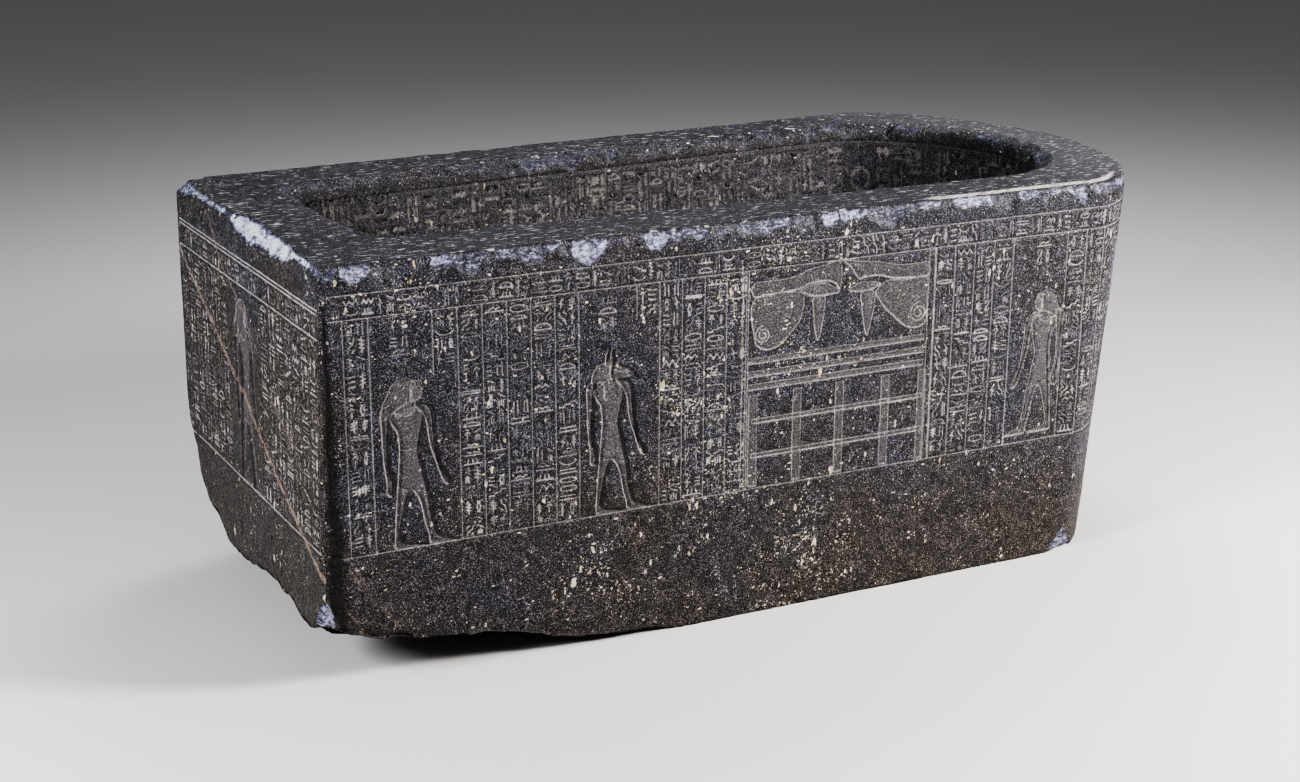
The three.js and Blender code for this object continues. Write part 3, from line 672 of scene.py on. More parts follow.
JACKAL_WIG = [(0.012, 0.955), (-0.040, 0.966), (-0.084, 0.952), (-0.118, 0.920), (-0.132, 0.875),
              (-0.128, 0.848), (-0.062, 0.843), (-0.048, 0.80), (-0.042, 0.735), (0.036, 0.735),
              (0.032, 0.80), (0.020, 0.86), (0.010, 0.905)]
JACKAL_FACE = [(0.0, 0.952), (0.034, 0.955), (0.072, 0.938), (0.108, 0.922), (0.143, 0.905),
               (0.150, 0.884), (0.138, 0.866), (0.092, 0.866), (0.055, 0.864), (0.024, 0.850),
               (-0.008, 0.870)]
EARS = ([(-0.012, 0.94), (-0.010, 0.99), (0.008, 1.052), (0.020, 1.0), (0.026, 0.95)],
        [(-0.040, 0.95), (-0.040, 0.99), (-0.026, 1.040), (-0.018, 1.0), (-0.014, 0.95)])


def carve_figure(relief, at, ground, height, facing, jackal=False, lit_side=-1):
    """A striding figure in sunk relief: limbs, kilt, wig and a plain profile face."""
    # the last argument picks which contour edges get a painted highlight and which a painted shadow
    finish = {"dressed": 0.55, "rim": 0.9 if lit_side else 0.75, "lit_side": lit_side}

    def placed(points):
        points = np.asarray(points, float)
        return np.stack([at + facing * points[:, 0] * height, ground + points[:, 1] * height], -1)

    def put(points):
        return placed(rounded(points))

    def line(points, depth=0.0016, tone=0.6):
        relief.stroke(placed(points), depth, tone=tone)

    for part in (BODY, BACK_ARM, FRONT_ARM):
        relief.sink(put(part), edge=0.0095, floor=0.0026, round_run=0.017, **finish)
    if jackal:
        for ear in EARS:
            relief.sink(put(ear), edge=0.0085, floor=0.0040, round_run=0.010, **finish)
        relief.sink(put(JACKAL_FACE), edge=0.0085, floor=0.0028, round_run=0.012, **finish)
        relief.sink(put(JACKAL_WIG), edge=0.0075, floor=0.0016, round_run=0.018, **finish)
        line([(0.040, 0.928), (0.052, 0.934), (0.066, 0.924)])
        line([(0.078, 0.892), (0.110, 0.886), (0.144, 0.884)])
    else:
        relief.sink(put(FACE), edge=0.0070, floor=0.0028, round_run=0.010, dressed=0.7, rim=0.7)
        relief.sink(put(WIG), edge=0.0075, floor=0.0016, round_run=0.018, dressed=0.5, rim=0.7)
        line([(0.034, 0.946), (0.046, 0.951), (0.058, 0.946)])
    line([(-0.064, 0.590), (-0.020, 0.580), (0.056, 0.586)])
    line([(-0.070, 0.570), (-0.020, 0.560), (0.058, 0.566)], 0.0010, 0.35)
    line([(-0.080, 0.372), (-0.030, 0.345), (0.025, 0.338), (0.104, 0.310)])


# --- The wall's carving, one function for each wall ----------------------------------------------

def side_run(x, side):
    """Run of the near (-1) or far (1) side at x."""
    return x - FOOT_X if side < 0 else RUN_FOOT - (x - FOOT_X)


def ruled(relief, run, low, high, depth=0.0022, tone=0.68):
    """An upright ruled line."""
    relief.stroke([(run, low), (run, high)], depth, tone=tone)


def carve_side(relief, side):
    """One long side from foot to head: columns, a figure, columns, a figure, columns, panel, columns."""
    rng = np.random.default_rng(40 + side)
    second = FIRST_RULE + PITCH
    low, high = GROUND_LINE_Z, LOWER_LINE_Z

    def column_run(x):
        return side_run(x if side < 0 else x + PITCH, side)

    def column(x, bottom=low, top=high):
        text_column(relief, rng, column_run(x), PITCH, bottom + 0.004, top - 0.002)

    def rule(x, bottom=low, top=high):
        ruled(relief, side_run(x, side), bottom, top)

    rule(FIRST_RULE)
    rule(second)
    column(FIRST_RULE)
    panel_end = 0.434
    blocks = ((second + 3.5 * PITCH, 5), (second + 12 * PITCH, 4), (panel_end, 4))
    for start, count in blocks:
        for i in range(count + 1):
            rule(start + i * PITCH)
            if i < count:
                column(start + i * PITCH)
    rule(second + 2.5 * PITCH, high - 0.17)
    column(second + 2.5 * PITCH, high - 0.17)
    rule(second + 11 * PITCH, high - 0.09)
    column(second + 11 * PITCH, high - 0.09)
    facing = 1 if side < 0 else -1
    ground = GROUND_LINE_Z + 0.003
    carve_figure(relief, side_run(-1.136, side), ground, 0.452, facing)
    carve_figure(relief, side_run(-0.572, side), ground, 0.436, facing, jackal=True)
    carve_figure(relief, side_run(0.822, side), ground + 0.022, 0.432, -facing, lit_side=0)
    for x, bottom in ((-1.190, 0.865), (-0.615, 0.880), (0.775, 0.880)):
        text_column(relief, rng, column_run(x), PITCH, bottom, high - 0.010)
    carve_panel(relief, side)


# The panel's two emblems, each a brow, an eye, a hanging drop and a cheek with a spiral.
LEFT_EMBLEM = (
    [(-0.147, 0.965), (-0.069, 0.967), (-0.013, 0.973), (0.022, 0.986), (0.070, 0.993), (0.121, 0.996),
     (0.124, 0.925), (0.106, 0.938), (0.089, 0.947), (0.063, 0.950), (0.022, 0.946), (-0.006, 0.936),
     (-0.068, 0.931), (-0.145, 0.928)],
    [(-0.002, 0.929), (0.030, 0.940), (0.066, 0.943), (0.092, 0.934), (0.121, 0.913), (0.074, 0.908),
     (0.040, 0.910), (0.013, 0.919)],
    [(0.038, 0.905), (0.074, 0.903), (0.072, 0.860), (0.066, 0.815), (0.056, 0.781), (0.045, 0.815),
     (0.040, 0.860)],
    [(-0.146, 0.922), (-0.144, 0.810), (-0.128, 0.784), (-0.102, 0.775), (-0.070, 0.781),
     (-0.049, 0.796), (-0.024, 0.822), (-0.002, 0.850), (0.008, 0.902), (-0.010, 0.926)],
)
LEFT_SPIRAL = (-0.115, 0.818, 0.026)
RIGHT_EMBLEM = (
    [(0.134, 1.000), (0.183, 0.992), (0.248, 0.983), (0.315, 0.968), (0.364, 0.965), (0.410, 0.965),
     (0.408, 0.927), (0.316, 0.930), (0.283, 0.935), (0.250, 0.945), (0.215, 0.946), (0.185, 0.942),
     (0.172, 0.955), (0.156, 0.978)],
    [(0.150, 0.915), (0.186, 0.930), (0.222, 0.930), (0.251, 0.922), (0.240, 0.914), (0.219, 0.907),
     (0.180, 0.906)],
    [(0.192, 0.903), (0.235, 0.899), (0.234, 0.855), (0.226, 0.815), (0.213, 0.777), (0.202, 0.815),
     (0.195, 0.860)],
    [(0.240, 0.900), (0.253, 0.873), (0.274, 0.846), (0.299, 0.824), (0.323, 0.801), (0.345, 0.786),
     (0.370, 0.779), (0.396, 0.783), (0.410, 0.800), (0.412, 0.860), (0.408, 0.920), (0.330, 0.922),
     (0.275, 0.926)],
)
RIGHT_SPIRAL = (0.386, 0.822, 0.030)


def carve_panel(relief, side):
    """The false-door panel: two eyes under brows, three double bands, and a grid of bars."""
    left, right = -0.158, 0.414

    def put(points):
        return np.array([(side_run(x, side), z) for x, z in points])

    def strip(x0, x1, z0, z1, tone=0.55):
        sunk = put([(x0, z0), (x1, z0), (x1, z1), (x0, z1)])
        relief.sink(sunk, edge=0.0030, floor=0.0024, dressed=tone, rim=0.68)

    for emblem, (cx, cz, reach) in ((LEFT_EMBLEM, LEFT_SPIRAL), (RIGHT_EMBLEM, RIGHT_SPIRAL)):
        for shape, tone in zip(emblem, (0.35, 0.45, 0.45, 0.40)):
            relief.sink(put(rounded(shape, 4)), edge=0.0042, floor=0.0024, round_run=0.014,
                        dressed=tone, rim=0.78)
        ring = arc_points(0, 0, 1, 1, 90, 810, 30)
        ring = ring * np.linspace(reach, 0.005, len(ring))[:, None]
        relief.stroke(put(ring + (cx, cz)), 0.0020, tone=0.85)
    for low in (0.740, 0.702, 0.665):
        strip(left - 0.004, right - 0.008, low, low + 0.016)
    for low in (0.567, 0.467):
        strip(left + 0.010, right - 0.006, low, low + 0.012, 0.45)
        for z in (low, low + 0.012):
            relief.stroke(put([(left + 0.020, z), (right - 0.016, z)]), 0.0022, tone=0.75)
    for start in (left, -0.018, 0.119, 0.269, right - 0.022):
        strip(start, start + 0.026, 0.384, 0.650, 0.45)
    for x in (left - 0.022, left - 0.012, right + 0.001, right + 0.024):
        ruled(relief, side_run(x, side), GROUND_LINE_Z, LOWER_LINE_Z)


def carve_head(relief):
    """The curved end: ruled columns carried round it from the near side to the far side."""
    rng = np.random.default_rng(71)
    start = side_run(0.892, -1)
    count = int((side_run(0.892, 1) - start) / PITCH)
    pitch = (side_run(0.892, 1) - start) / count
    for i in range(count + 1):
        run = start + i * pitch
        ruled(relief, run, GROUND_LINE_Z, LOWER_LINE_Z)
        if i < count:
            text_column(relief, rng, run, pitch, GROUND_LINE_Z + 0.004, LOWER_LINE_Z - 0.002)


def carve_bands(relief):
    """The band of marks between two lines, and the ground line, round all but the foot end."""
    rng = np.random.default_rng(17)
    level_lines(relief, 0.022, RUN_FOOT - 0.022, (UPPER_LINE_Z, LOWER_LINE_Z, GROUND_LINE_Z))
    text_row(relief, rng, 0.030, RUN_FOOT - 0.030, LOWER_LINE_Z, UPPER_LINE_Z)
    carve_head(relief)


def level_lines(relief, first, last, heights, tone=0.72):
    """Level ruled lines, in short stretches so that each looks up only a small part of the grid."""
    for z in heights:
        steps = max(2, int((last - first) / 0.25))
        runs = np.linspace(first, last, steps)
        relief.stroke(np.stack([runs, np.full(steps, z)], -1), 0.0028, tone=tone)


# Veins low on the near side, as points of run and z with a width and a strength.
NEAR_VEINS = (
    ([(0.004, 0.437), (0.040, 0.385), (0.074, 0.328), (0.100, 0.262)], 0.0022, 0.5),
    ([(0.048, 0.346), (0.090, 0.270), (0.150, 0.202), (0.178, 0.160)], 0.0024, 0.6),
    ([(0.020, 0.300), (0.040, 0.230), (0.075, 0.170)], 0.0020, 0.5),
)


def carve_near(relief):
    """The near side's carving, and its veins."""
    carve_side(relief, -1)
    carve_bands(relief)
    for points, width, tone in NEAR_VEINS:
        relief.streak(points, width, tone)


def carve_far(relief):
    """The far side's carving."""
    carve_side(relief, 1)
    carve_bands(relief)


# Veins across the foot end, as points of y and z with a width and a strength.
FOOT_VEINS = (
    ([(0.64, 0.950), (0.50, 0.880), (0.212, 0.741), (-0.037, 0.619), (-0.285, 0.480), (-0.450, 0.410),
      (-0.64, 0.325)], 0.0080, 1.0),
    ([(0.302, 1.096), (0.255, 1.040), (0.200, 0.983), (0.057, 0.921), (-0.120, 0.809)], 0.0055, 0.6),
    ([(-0.156, 0.735), (-0.343, 0.649), (-0.460, 0.602)], 0.005, 0.45),
)


def carve_foot(relief):
    """The foot end: double line, band of marks, columns, and a tall figure in the middle."""
    rng = np.random.default_rng(83)
    edge = 0.024
    first, last = RUN_FOOT + edge, RUN_END - edge
    second_line = FOOT_UPPER_LINE_Z - 0.011
    lines = (FOOT_UPPER_LINE_Z, second_line, FOOT_LOWER_LINE_Z, FOOT_GROUND_LINE_Z)
    level_lines(relief, first, last, lines, 1.0)
    text_row(relief, rng, first + 0.01, last, FOOT_LOWER_LINE_Z, second_line)
    for i in range(8):
        for run in (first + i * PITCH, last - i * PITCH):
            ruled(relief, run, FOOT_GROUND_LINE_Z, FOOT_LOWER_LINE_Z, 0.0016, 0.45)
    for i in range(7):
        for run in (first + i * PITCH, last - (i + 1) * PITCH):
            text_column(relief, rng, run, PITCH, FOOT_GROUND_LINE_Z + 0.004, FOOT_LOWER_LINE_Z - 0.002,
                        depth=0.0030, tone=1.2)
    middle = (first + last) / 2
    carve_figure(relief, middle, FOOT_GROUND_LINE_Z + 0.004, 0.52, 1, lit_side=1)
    for points, width, tone in FOOT_VEINS:
        relief.streak([(RUN_FOOT + FOOT_HALF - y, z) for y, z in points], width, tone)


# --- From grids to meshes -----------------------------------------------------------------------

# What each grid point carries besides its place: the depth of its carving, which steers the split
# into triangles, and how far it is a cut line, dressed, freshly broken, a vein, or in painted shade.
LAYERS = ("sunk", "cut", "dressed", "chip", "vein", "painted_shade")


def grid_mesh(name, points, layers, close_run=False):
    """A mesh from a grid of points. Each cell is split along its more sunken diagonal, so that a
    thin cut running askew isn't bridged."""
    rows, columns = points.shape[:2]
    count = columns if close_run else columns - 1
    index = np.arange(rows * columns).reshape(rows, columns)
    first = index[:-1, :count]
    second = np.roll(index, -1, axis=1)[:-1, :count]
    third = np.roll(index, -1, axis=1)[1:, :count]
    fourth = index[1:, :count]
    sunk = layers["sunk"].reshape(-1)
    falling = sunk[first] + sunk[third] >= sunk[second] + sunk[fourth]
    one = np.stack([first, second, np.where(falling, third, fourth)], -1)
    two = np.stack([np.where(falling, first, second), third, fourth], -1)
    triangles = np.concatenate([one.reshape(-1, 3), two.reshape(-1, 3)])
    mesh = bpy.data.meshes.new(name)
    mesh.vertices.add(rows * columns)
    mesh.vertices.foreach_set("co", points.reshape(-1).astype(np.float32))
    mesh.loops.add(triangles.size)
    mesh.loops.foreach_set("vertex_index", triangles.reshape(-1).astype(np.int32))
    mesh.polygons.add(len(triangles))
    mesh.polygons.foreach_set("loop_start", np.arange(0, triangles.size, 3, dtype=np.int32))
    mesh.polygons.foreach_set("use_smooth", np.ones(len(triangles), bool))
    for key, values in layers.items():
        if key != "sunk":
            layer = mesh.attributes.new(key, "FLOAT", "POINT")
            layer.data.foreach_set("value", values.reshape(-1).astype(np.float32))
    mesh.update(calc_edges=True)
    mesh.validate()
    return mesh


def add_piece(name, points, layers, close_run=False):
    """Puts a finished grid into the scene as a piece of the chest."""
    if not np.isfinite(points).all():
        raise RuntimeError(f"{name} has a point that isn't a number")
    mesh = grid_mesh(name, points, layers, close_run)
    mesh.materials.append(stone_material())
    piece = bpy.data.objects.new(name, mesh)
    bpy.context.scene.collection.objects.link(piece)
    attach(piece, ROOT)
    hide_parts(NODE)


def stacked(*parts):
    """Joins grids of points, and their layers, row after row. A layer that a part leaves out is 0."""
    points = np.concatenate([grid for grid, _ in parts])
    layers = {}
    for key in LAYERS:
        rows = [np.zeros(grid.shape[:2]) + own.get(key, 0.0) for grid, own in parts]
        layers[key] = np.concatenate(rows)
    return points, layers


def spaced(start, end, step):
    """Even places from start to end, about a step apart."""
    return np.linspace(start, end, max(2, int(round((end - start) / step)) + 1))


def wall_lines(step_z, low_step):
    """Heights of the grid's rows: wide apart on the plain base, close through the carved register."""
    return np.concatenate([
        spaced(0.0, CARVED_FROM_Z, low_step)[:-1],
        spaced(CARVED_FROM_Z, CARVED_TO_Z, step_z)[:-1],
        spaced(CARVED_TO_Z, RIM_Z, max(step_z, 0.0045)),
    ])


def across_rim(runs):
    """The rim's outer edge and inner edge at each run, the unit vector between, and its length."""
    flat = np.full_like(runs, RIM_Z)
    edge, inner = outer_point(runs, flat), opening_point(runs, flat)
    width = np.linalg.norm(inner - edge, axis=-1)
    return edge, inner, (inner - edge) / width[:, None], width


def scalloped(points, push, bite, seed, depth):
    """Hollows the faces of the flakes: noise pushes them in along push, most in each one's middle."""
    return points - push * (bite * depth * np.abs(fractal(points, 26.0, 3, seed=seed)))[..., None]


def weathering(wall, z, bottom):
    """How far in the skin lies: pits where noise passes a level, long waves and a fine roughness. Pits
    and roughness are deeper on the plain base; waves and roughness fade at its lower edge."""
    plain = smooth((GROUND_LINE_Z - z) / 0.05)
    waves = WAVE_DEPTH * fractal(wall, 7.0, 3, seed=3)
    pits = np.clip(fractal(wall, 55.0, 2, seed=21) - 0.62, 0, None) * lerp(*PIT_DEPTHS, plain)
    rough = fractal(wall, 120.0, 2, seed=31) * lerp(*GRAIN_DEPTHS, plain)
    return pits + (waves + rough) * smooth((z - bottom[None]) / 0.02)


def edge_loss(wall, z, bottom):
    """Wear of the base's lower edge: it dies away upwards and is strongest along the break."""
    strength = 0.003 + 0.011 * np.clip(bottom / 0.08, 0, 1)
    noise = 0.7 + 0.5 * fractal(wall, 24.0, 2, seed=41)
    return np.exp(-(z - bottom[None]) / 0.012) * strength[None] * noise


def wear_foot_corner(wall, normal, runs, z):
    """Cuts the groove beside the near foot corner and crumbles the arris. The groove is a bell-shaped
    hollow about a wavering upright line, and it widens downwards. Also gives its strength, which the
    wall uses for painted shade in the groove."""
    wear = np.clip((1.02 - z) / 0.60, 0, 1)
    seam = 0.011 + 0.012 * wear + 0.003 * fractal(wall, 22.0, 2, seed=91)
    groove = np.exp(-((runs[None] - seam) / (0.005 + 0.009 * wear)) ** 2) * smooth((1.05 - z) / 0.05)
    wall = wall - normal * (GROOVE_DEPTH * groove * (0.6 + 0.4 * wear))[..., None]
    arris = np.minimum(np.abs(runs), np.abs(RUN_END - runs))[None] / (0.012 + 0.014 * wear)
    crumbs = 0.004 * np.clip(1 - arris, 0, 1) * np.abs(fractal(wall, 30.0, 3, seed=93))
    return wall - normal * crumbs[..., None], groove


def worn_patch(wall, runs, z):
    """How strongly a point belongs to the worn patch: an ellipse with an edge broken by noise."""
    centre_run, centre_z = WORN_PATCH
    patch = 1.1 - ((runs[None] - centre_run) / 0.06) ** 2 - ((z - centre_z) / 0.14) ** 2
    return 0.42 * smooth(patch + 0.7 * fractal(wall, 18.0, 3, seed=97))


def rim_part(runs, inset, drop):
    """The rim from its outer edge to the seam: flaked at the edge, with a low step near the head and
    shallow pits. Gives its points, how near each is to the step (used as a painted highlight along its
    edge), and how far inside a flake."""
    edge, _, inwards, width = across_rim(runs)
    steps = np.concatenate([spaced(0.004, 0.060, 0.005), spaced(0.070, 0.150, 0.012)])[:, None]
    reach = (width - RIM_SEAM)[None]
    stretched = 0.060 + (steps - 0.060) / (steps[-1] - 0.060) * (reach - 0.060)
    distance = np.where(steps <= 0.060, steps, stretched)
    share = np.clip(0.5 + 0.5 * distance / inset, 0, 1)
    flaked = distance < inset
    rim = edge[None] + inwards[None] * np.where(flaked, inset * share, distance)[..., None]
    rim[..., 2] = np.where(flaked, RIM_Z - drop * (1 - share), RIM_Z)

    ledge = smooth((runs - RUN_HEAD + 0.62) / 0.10) * smooth((RUN_HEAD + 0.22 - runs) / 0.12)
    ledge_at = 0.044 + 0.006 * np.sin(runs * 9.0)
    rim[..., 2] -= LEDGE_STEP * smooth((ledge_at - distance) / 0.006 + 0.5) * ledge * ~flaked
    # painted highlight: a pale line where the step's edge would catch the light
    ledge_highlight = np.clip(np.exp(-((distance - ledge_at) / 0.0075) ** 2) * ledge * 1.8, 0, 1)

    bite = flaked * np.sin(share * math.pi)
    push = outward(runs, np.full_like(runs, RIM_Z))[None] + UP
    rim = scalloped(rim, push, bite, 51, SCALLOP_DEPTH)
    pits = np.clip(fractal(rim, 45.0, 2, seed=61) - 0.55, 0, None) * RIM_PIT_DEPTH
    rim[..., 2] -= pits * smooth((reach - distance) / 0.02) * ~flaked
    return rim, ledge_highlight, bite


def wall_piece(name, runs, carve, step_z=0.0035, low_step=0.012):
    """A stretch of the block's skin: a lip under the base, the wall, the outer rim edge and the rim
    as far as the seam with the hollow's mesh.

    Every grid point starts as a run and a height, or a run and a distance in from an edge. Carving
    slides it along the wall and sinks it, flakes bevel the rim's edge, and noise roughens it.
    """
    heights = wall_lines(step_z, low_step)
    bottom = base_height(runs)
    knee = np.maximum(CARVED_FROM_Z, bottom + 0.12)
    z = heights[:, None] * np.ones_like(runs)[None, :]
    z = np.where(z < knee, bottom + z * (1 - bottom / knee), z)

    relief = Relief(runs, z)
    carve(relief)
    run = runs[None, :] + relief.slide[..., 0]
    z = z + relief.slide[..., 1]

    inset, drop, pale = flake_size(runs, OUTER_FLAKES)
    below = RIM_Z - z
    share = np.clip(0.5 * (1 - below / drop), 0, 1)
    flaked = below < drop
    sloped = np.where(flaked, RIM_Z - drop * (1 - share), z)
    wall = outer_point(run, sloped)
    normal = outward(run, sloped)
    inwards = across_rim(runs)[2]
    wall = wall + inwards[None] * np.where(flaked, inset * share, 0)[..., None]

    patch = worn_patch(wall, runs, z)
    carved_fade = (1 - smooth((share - 0.02) / 0.2) * flaked) * (1 - 0.5 * patch)
    sunk = (relief.depth + relief.groove) * carved_fade
    wall = wall - normal * (sunk + weathering(wall, z, bottom))[..., None]
    wall = wall - normal * edge_loss(wall, z, bottom)[..., None]
    wall, groove = wear_foot_corner(wall, normal, runs, z)
    bite = flaked * np.sin(share * math.pi)
    wall = scalloped(wall, normal + UP, bite, 51, SCALLOP_DEPTH)
    wall, bitten = bite_corners(wall)

    lips = np.array(LIPS)[:, None, None]
    under = outer_point(runs, bottom)[None] - outward(runs, bottom)[None] * lips
    under[..., 2] = np.where(bottom[None] > 0.001, break_height(under), 0.0)
    under, _ = bite_corners(under)
    rim, ledge_highlight, rim_bite = rim_part(runs, inset, drop)

    spread = pale * (1 + pale ** 6)
    points, layers = stacked(
        (under, {}),
        (wall, {
            "sunk": sunk,
            "cut": relief.cut * carved_fade,
            "dressed": relief.dressed * carved_fade,
            "chip": np.maximum(np.minimum(bite * spread, pale), np.maximum(bitten, patch)),
            "vein": relief.vein,
            # painted shade in the groove beside the near foot corner and along the figures' shaded edges
            "painted_shade": np.maximum(relief.painted_shade, np.clip(groove * 1.4, 0, 1)),
        }),
        # the rim's cut layer carries the painted highlight along the step's edge
        (rim, {"cut": ledge_highlight, "chip": np.minimum(rim_bite * spread, pale)}),
    )
    add_piece(name, points, layers)


def carve_inside(relief):
    """The hollow's far wall and curved end: a line under the rim, ruled columns and a ring."""
    rng = np.random.default_rng(29)
    high, low = 1.078, 0.640
    first = RUN_APEX - 3 * PITCH
    relief.stroke([(first, high), (RUN_FAR, high + 0.004), (RUN_FOOT - 0.03, high)], 0.0030, tone=0.45)
    relief.stroke([(first, low), (RUN_FOOT - 0.03, low)], 0.0030, tone=0.5)
    count = int((RUN_FOOT - 0.05 - first) / PITCH)
    for i in range(count + 1):
        run = first + i * PITCH
        ruled(relief, run, low, high, 0.0024, 0.40)
        if i < count and abs(run + PITCH / 2 - INNER_RING[0]) > 0.09:
            text_column(relief, rng, run, PITCH, low + 0.01, high - 0.004, 0.0022, 0.75)
    run, z, reach = INNER_RING
    for size in (reach, reach * 0.8):
        ring = arc_points(run, z, size, size, 0, 360, 24)
        relief.stroke(ring, 0.0034, tone=0.55)


def hollow_floor(last, inwards):
    """The round at the foot of the hollow's walls, a quarter circle, and a floor that closes in
    straight lines towards one point."""
    centre = np.array([0.05, OPENING_SHIFT, FLOOR_Z])
    rows = []
    for turn in np.radians([25, 50, 75, 90]):
        ring = last + inwards * (FLOOR_RADIUS * (1 - math.cos(turn)))
        ring[:, 2] = FLOOR_Z + FLOOR_RADIUS * (1 - math.sin(turn))
        rows.append(ring)
    edge = rows[-1]
    for part in np.linspace(0, 1, 12)[1:]:
        rows.append(lerp(edge, centre, part * 0.9995))
    floor = np.stack(rows)
    fade = smooth(np.arange(len(floor)) / 3)[:, None]
    floor[..., 2] += 0.0012 * fractal(floor, 20.0, 2, seed=35) * fade
    return floor


# The hollow's columns: first run, last run and step. They are closest on the far wall.
INNER_STEP = 0.0068
HOLLOW_STRETCHES = (
    (0.0, RUN_HEAD, 0.016),
    (RUN_HEAD, RUN_FAR, 0.0088),
    (RUN_FAR, RUN_FOOT, INNER_STEP),
    (RUN_FOOT, RUN_END, 0.011),
)


def hollow_piece(name):
    """The hollow as one closed run of columns: the rim's inner edge with its flakes, the upright
    walls, a round at their foot and a floor that closes towards one point."""
    runs = np.concatenate([spaced(*stretch)[:-1] for stretch in HOLLOW_STRETCHES])
    _, rim_inner, inwards, _ = across_rim(runs)
    inset, drop, pale = flake_size(runs, INNER_FLAKES)
    back = spaced(RIM_SEAM, 0.0, 0.0065)[:, None]
    rim_share = np.clip(0.5 - 0.5 * back / inset, 0, 1)
    rim_flaked = back < inset
    rim_back = np.where(rim_flaked, inset * (1 - rim_share), back)
    rim = rim_inner[None] - inwards[None] * rim_back[..., None]
    rim[..., 2] = np.where(rim_flaked, RIM_Z - drop * rim_share, RIM_Z)

    fine = spaced(0.005, 0.36, 0.0060)
    depths = np.concatenate([fine, spaced(0.38, RIM_Z - FLOOR_Z - FLOOR_RADIUS, 0.022)])[:, None]
    share = np.clip(0.5 + 0.5 * depths / drop, 0, 1)
    flaked = depths < drop
    z = RIM_Z - np.where(flaked, drop * share, depths * np.ones_like(drop))
    relief = Relief(runs, z)
    relief.step = INNER_STEP
    carve_inside(relief)
    wall = opening_point(runs[None] + relief.slide[..., 0], z + relief.slide[..., 1])
    wall = wall - inwards[None] * np.where(flaked, inset * (1 - share), 0)[..., None]
    floor = hollow_floor(wall[-1], inwards)

    bite = flaked * np.sin(share * math.pi)
    rim_bite = rim_flaked * np.sin(rim_share * math.pi)
    carved = 1 - np.clip(bite * 2, 0, 1)
    sunk = (relief.depth + relief.groove) * carved
    wall = scalloped(wall, inwards[None] + UP, bite, 52, INNER_SCALLOP_DEPTH)
    rough = 0.0007 * fractal(wall, 60.0, 3, seed=33) + 0.0016 * fractal(wall, 9.0, 2, seed=34)
    wall = wall - inwards[None] * (rough * smooth((z - 0.33) / 0.04) + sunk)[..., None]
    rim = scalloped(rim, inwards[None] + UP, rim_bite, 52, INNER_SCALLOP_DEPTH)
    points, layers = stacked(
        (rim, {"chip": 0.5 * rim_bite * pale ** 2}),
        (wall, {
            "sunk": sunk,
            "cut": relief.cut * carved,
            "dressed": 0.12,
            "chip": 0.5 * bite * pale ** 2,
            # painted shade: the hollow's walls are darkened as the shade inside it
            "painted_shade": 0.38 * carved,
        }),
        # the hollow's floor gets the same painted shade
        (floor, {"painted_shade": 0.35}),
    )
    add_piece(name, points, layers, close_run=True)


def underside_piece(name):
    """The base: strips from the near lip to the far lip, flat under the head half and broken away
    towards the foot end."""
    side, head = spaced(0.0, SIDE_RUN, 0.02)[:-1], spaced(0.0, HEAD_RUN / 2, 0.02)

    def lip(runs):
        bottom = base_height(runs)
        return outer_point(runs, bottom) - outward(runs, bottom) * UNDERSIDE_INSET

    near = lip(np.concatenate([side, RUN_HEAD + head]))
    far = lip(np.concatenate([RUN_FOOT - side, RUN_FAR - head]))
    share = np.linspace(0, 1, 60)[:, None, None]
    points = lerp(far[None], near[None], share)
    points[..., 2] = break_height(points)
    add_piece(name, *stacked((points, {})))


# --- Stone ---------------------------------------------------------------------------------------

class Graph:
    """Shorthand for adding and joining a material's nodes."""

    def __init__(self, material):
        self.tree = material.node_tree
        self.nodes = self.tree.nodes
        self.nodes.clear()

    def add(self, kind, inputs=None, **settings):
        """A node of one kind, with values or links for its inputs."""
        node = self.nodes.new("ShaderNode" + kind)
        for key, value in settings.items():
            setattr(node, key, value)
        for key, value in (inputs or {}).items():
            self.feed(node.inputs[key], value)
        return node

    def feed(self, socket, value):
        """Links another socket to a socket, or sets its value."""
        if isinstance(value, bpy.types.NodeSocket):
            self.tree.links.new(value, socket)
        else:
            socket.default_value = value

    def math(self, operation, *values, clamp=False):
        """One arithmetic operation."""
        node = self.add("Math", operation=operation, use_clamp=clamp)
        for socket, value in zip(node.inputs, values):
            self.feed(socket, value)
        return node.outputs[0]

    def mix(self, share, a, b):
        """Colour a at share 0, colour b at share 1."""
        node = self.add("Mix", data_type="RGBA")
        for name, value in (("Factor", share), ("A", a), ("B", b)):
            sockets = [s for s in node.inputs if s.name == name and s.enabled]
            self.feed(sockets[0], value)
        return [s for s in node.outputs if s.enabled][0]

    def times(self, first, *rest):
        """Product of all the values."""
        for value in rest:
            first = self.math("MULTIPLY", first, value)
        return first

    def plus(self, first, second):
        """Sum of two values."""
        return self.math("ADD", first, second)

    def ramp(self, value, low, high):
        """0 up to low, 1 from high on, a straight line between."""
        node = self.add("MapRange", {"Value": value, "From Min": low, "From Max": high}, clamp=True)
        return node.outputs[0]

    def noise(self, vector, scale, detail=3.0, roughness=0.55):
        """Noise about 0.5, finer with scale."""
        settings = {"Vector": vector, "Scale": scale, "Detail": detail, "Roughness": roughness}
        return self.add("TexNoise", settings).outputs["Fac"]

    def attribute(self, name):
        """One of the grid's layers."""
        return self.add("Attribute", attribute_name=name, attribute_type="GEOMETRY").outputs["Fac"]


def rgb(red, green, blue):
    """A colour for a socket, with full alpha."""
    return (red, green, blue, 1.0)


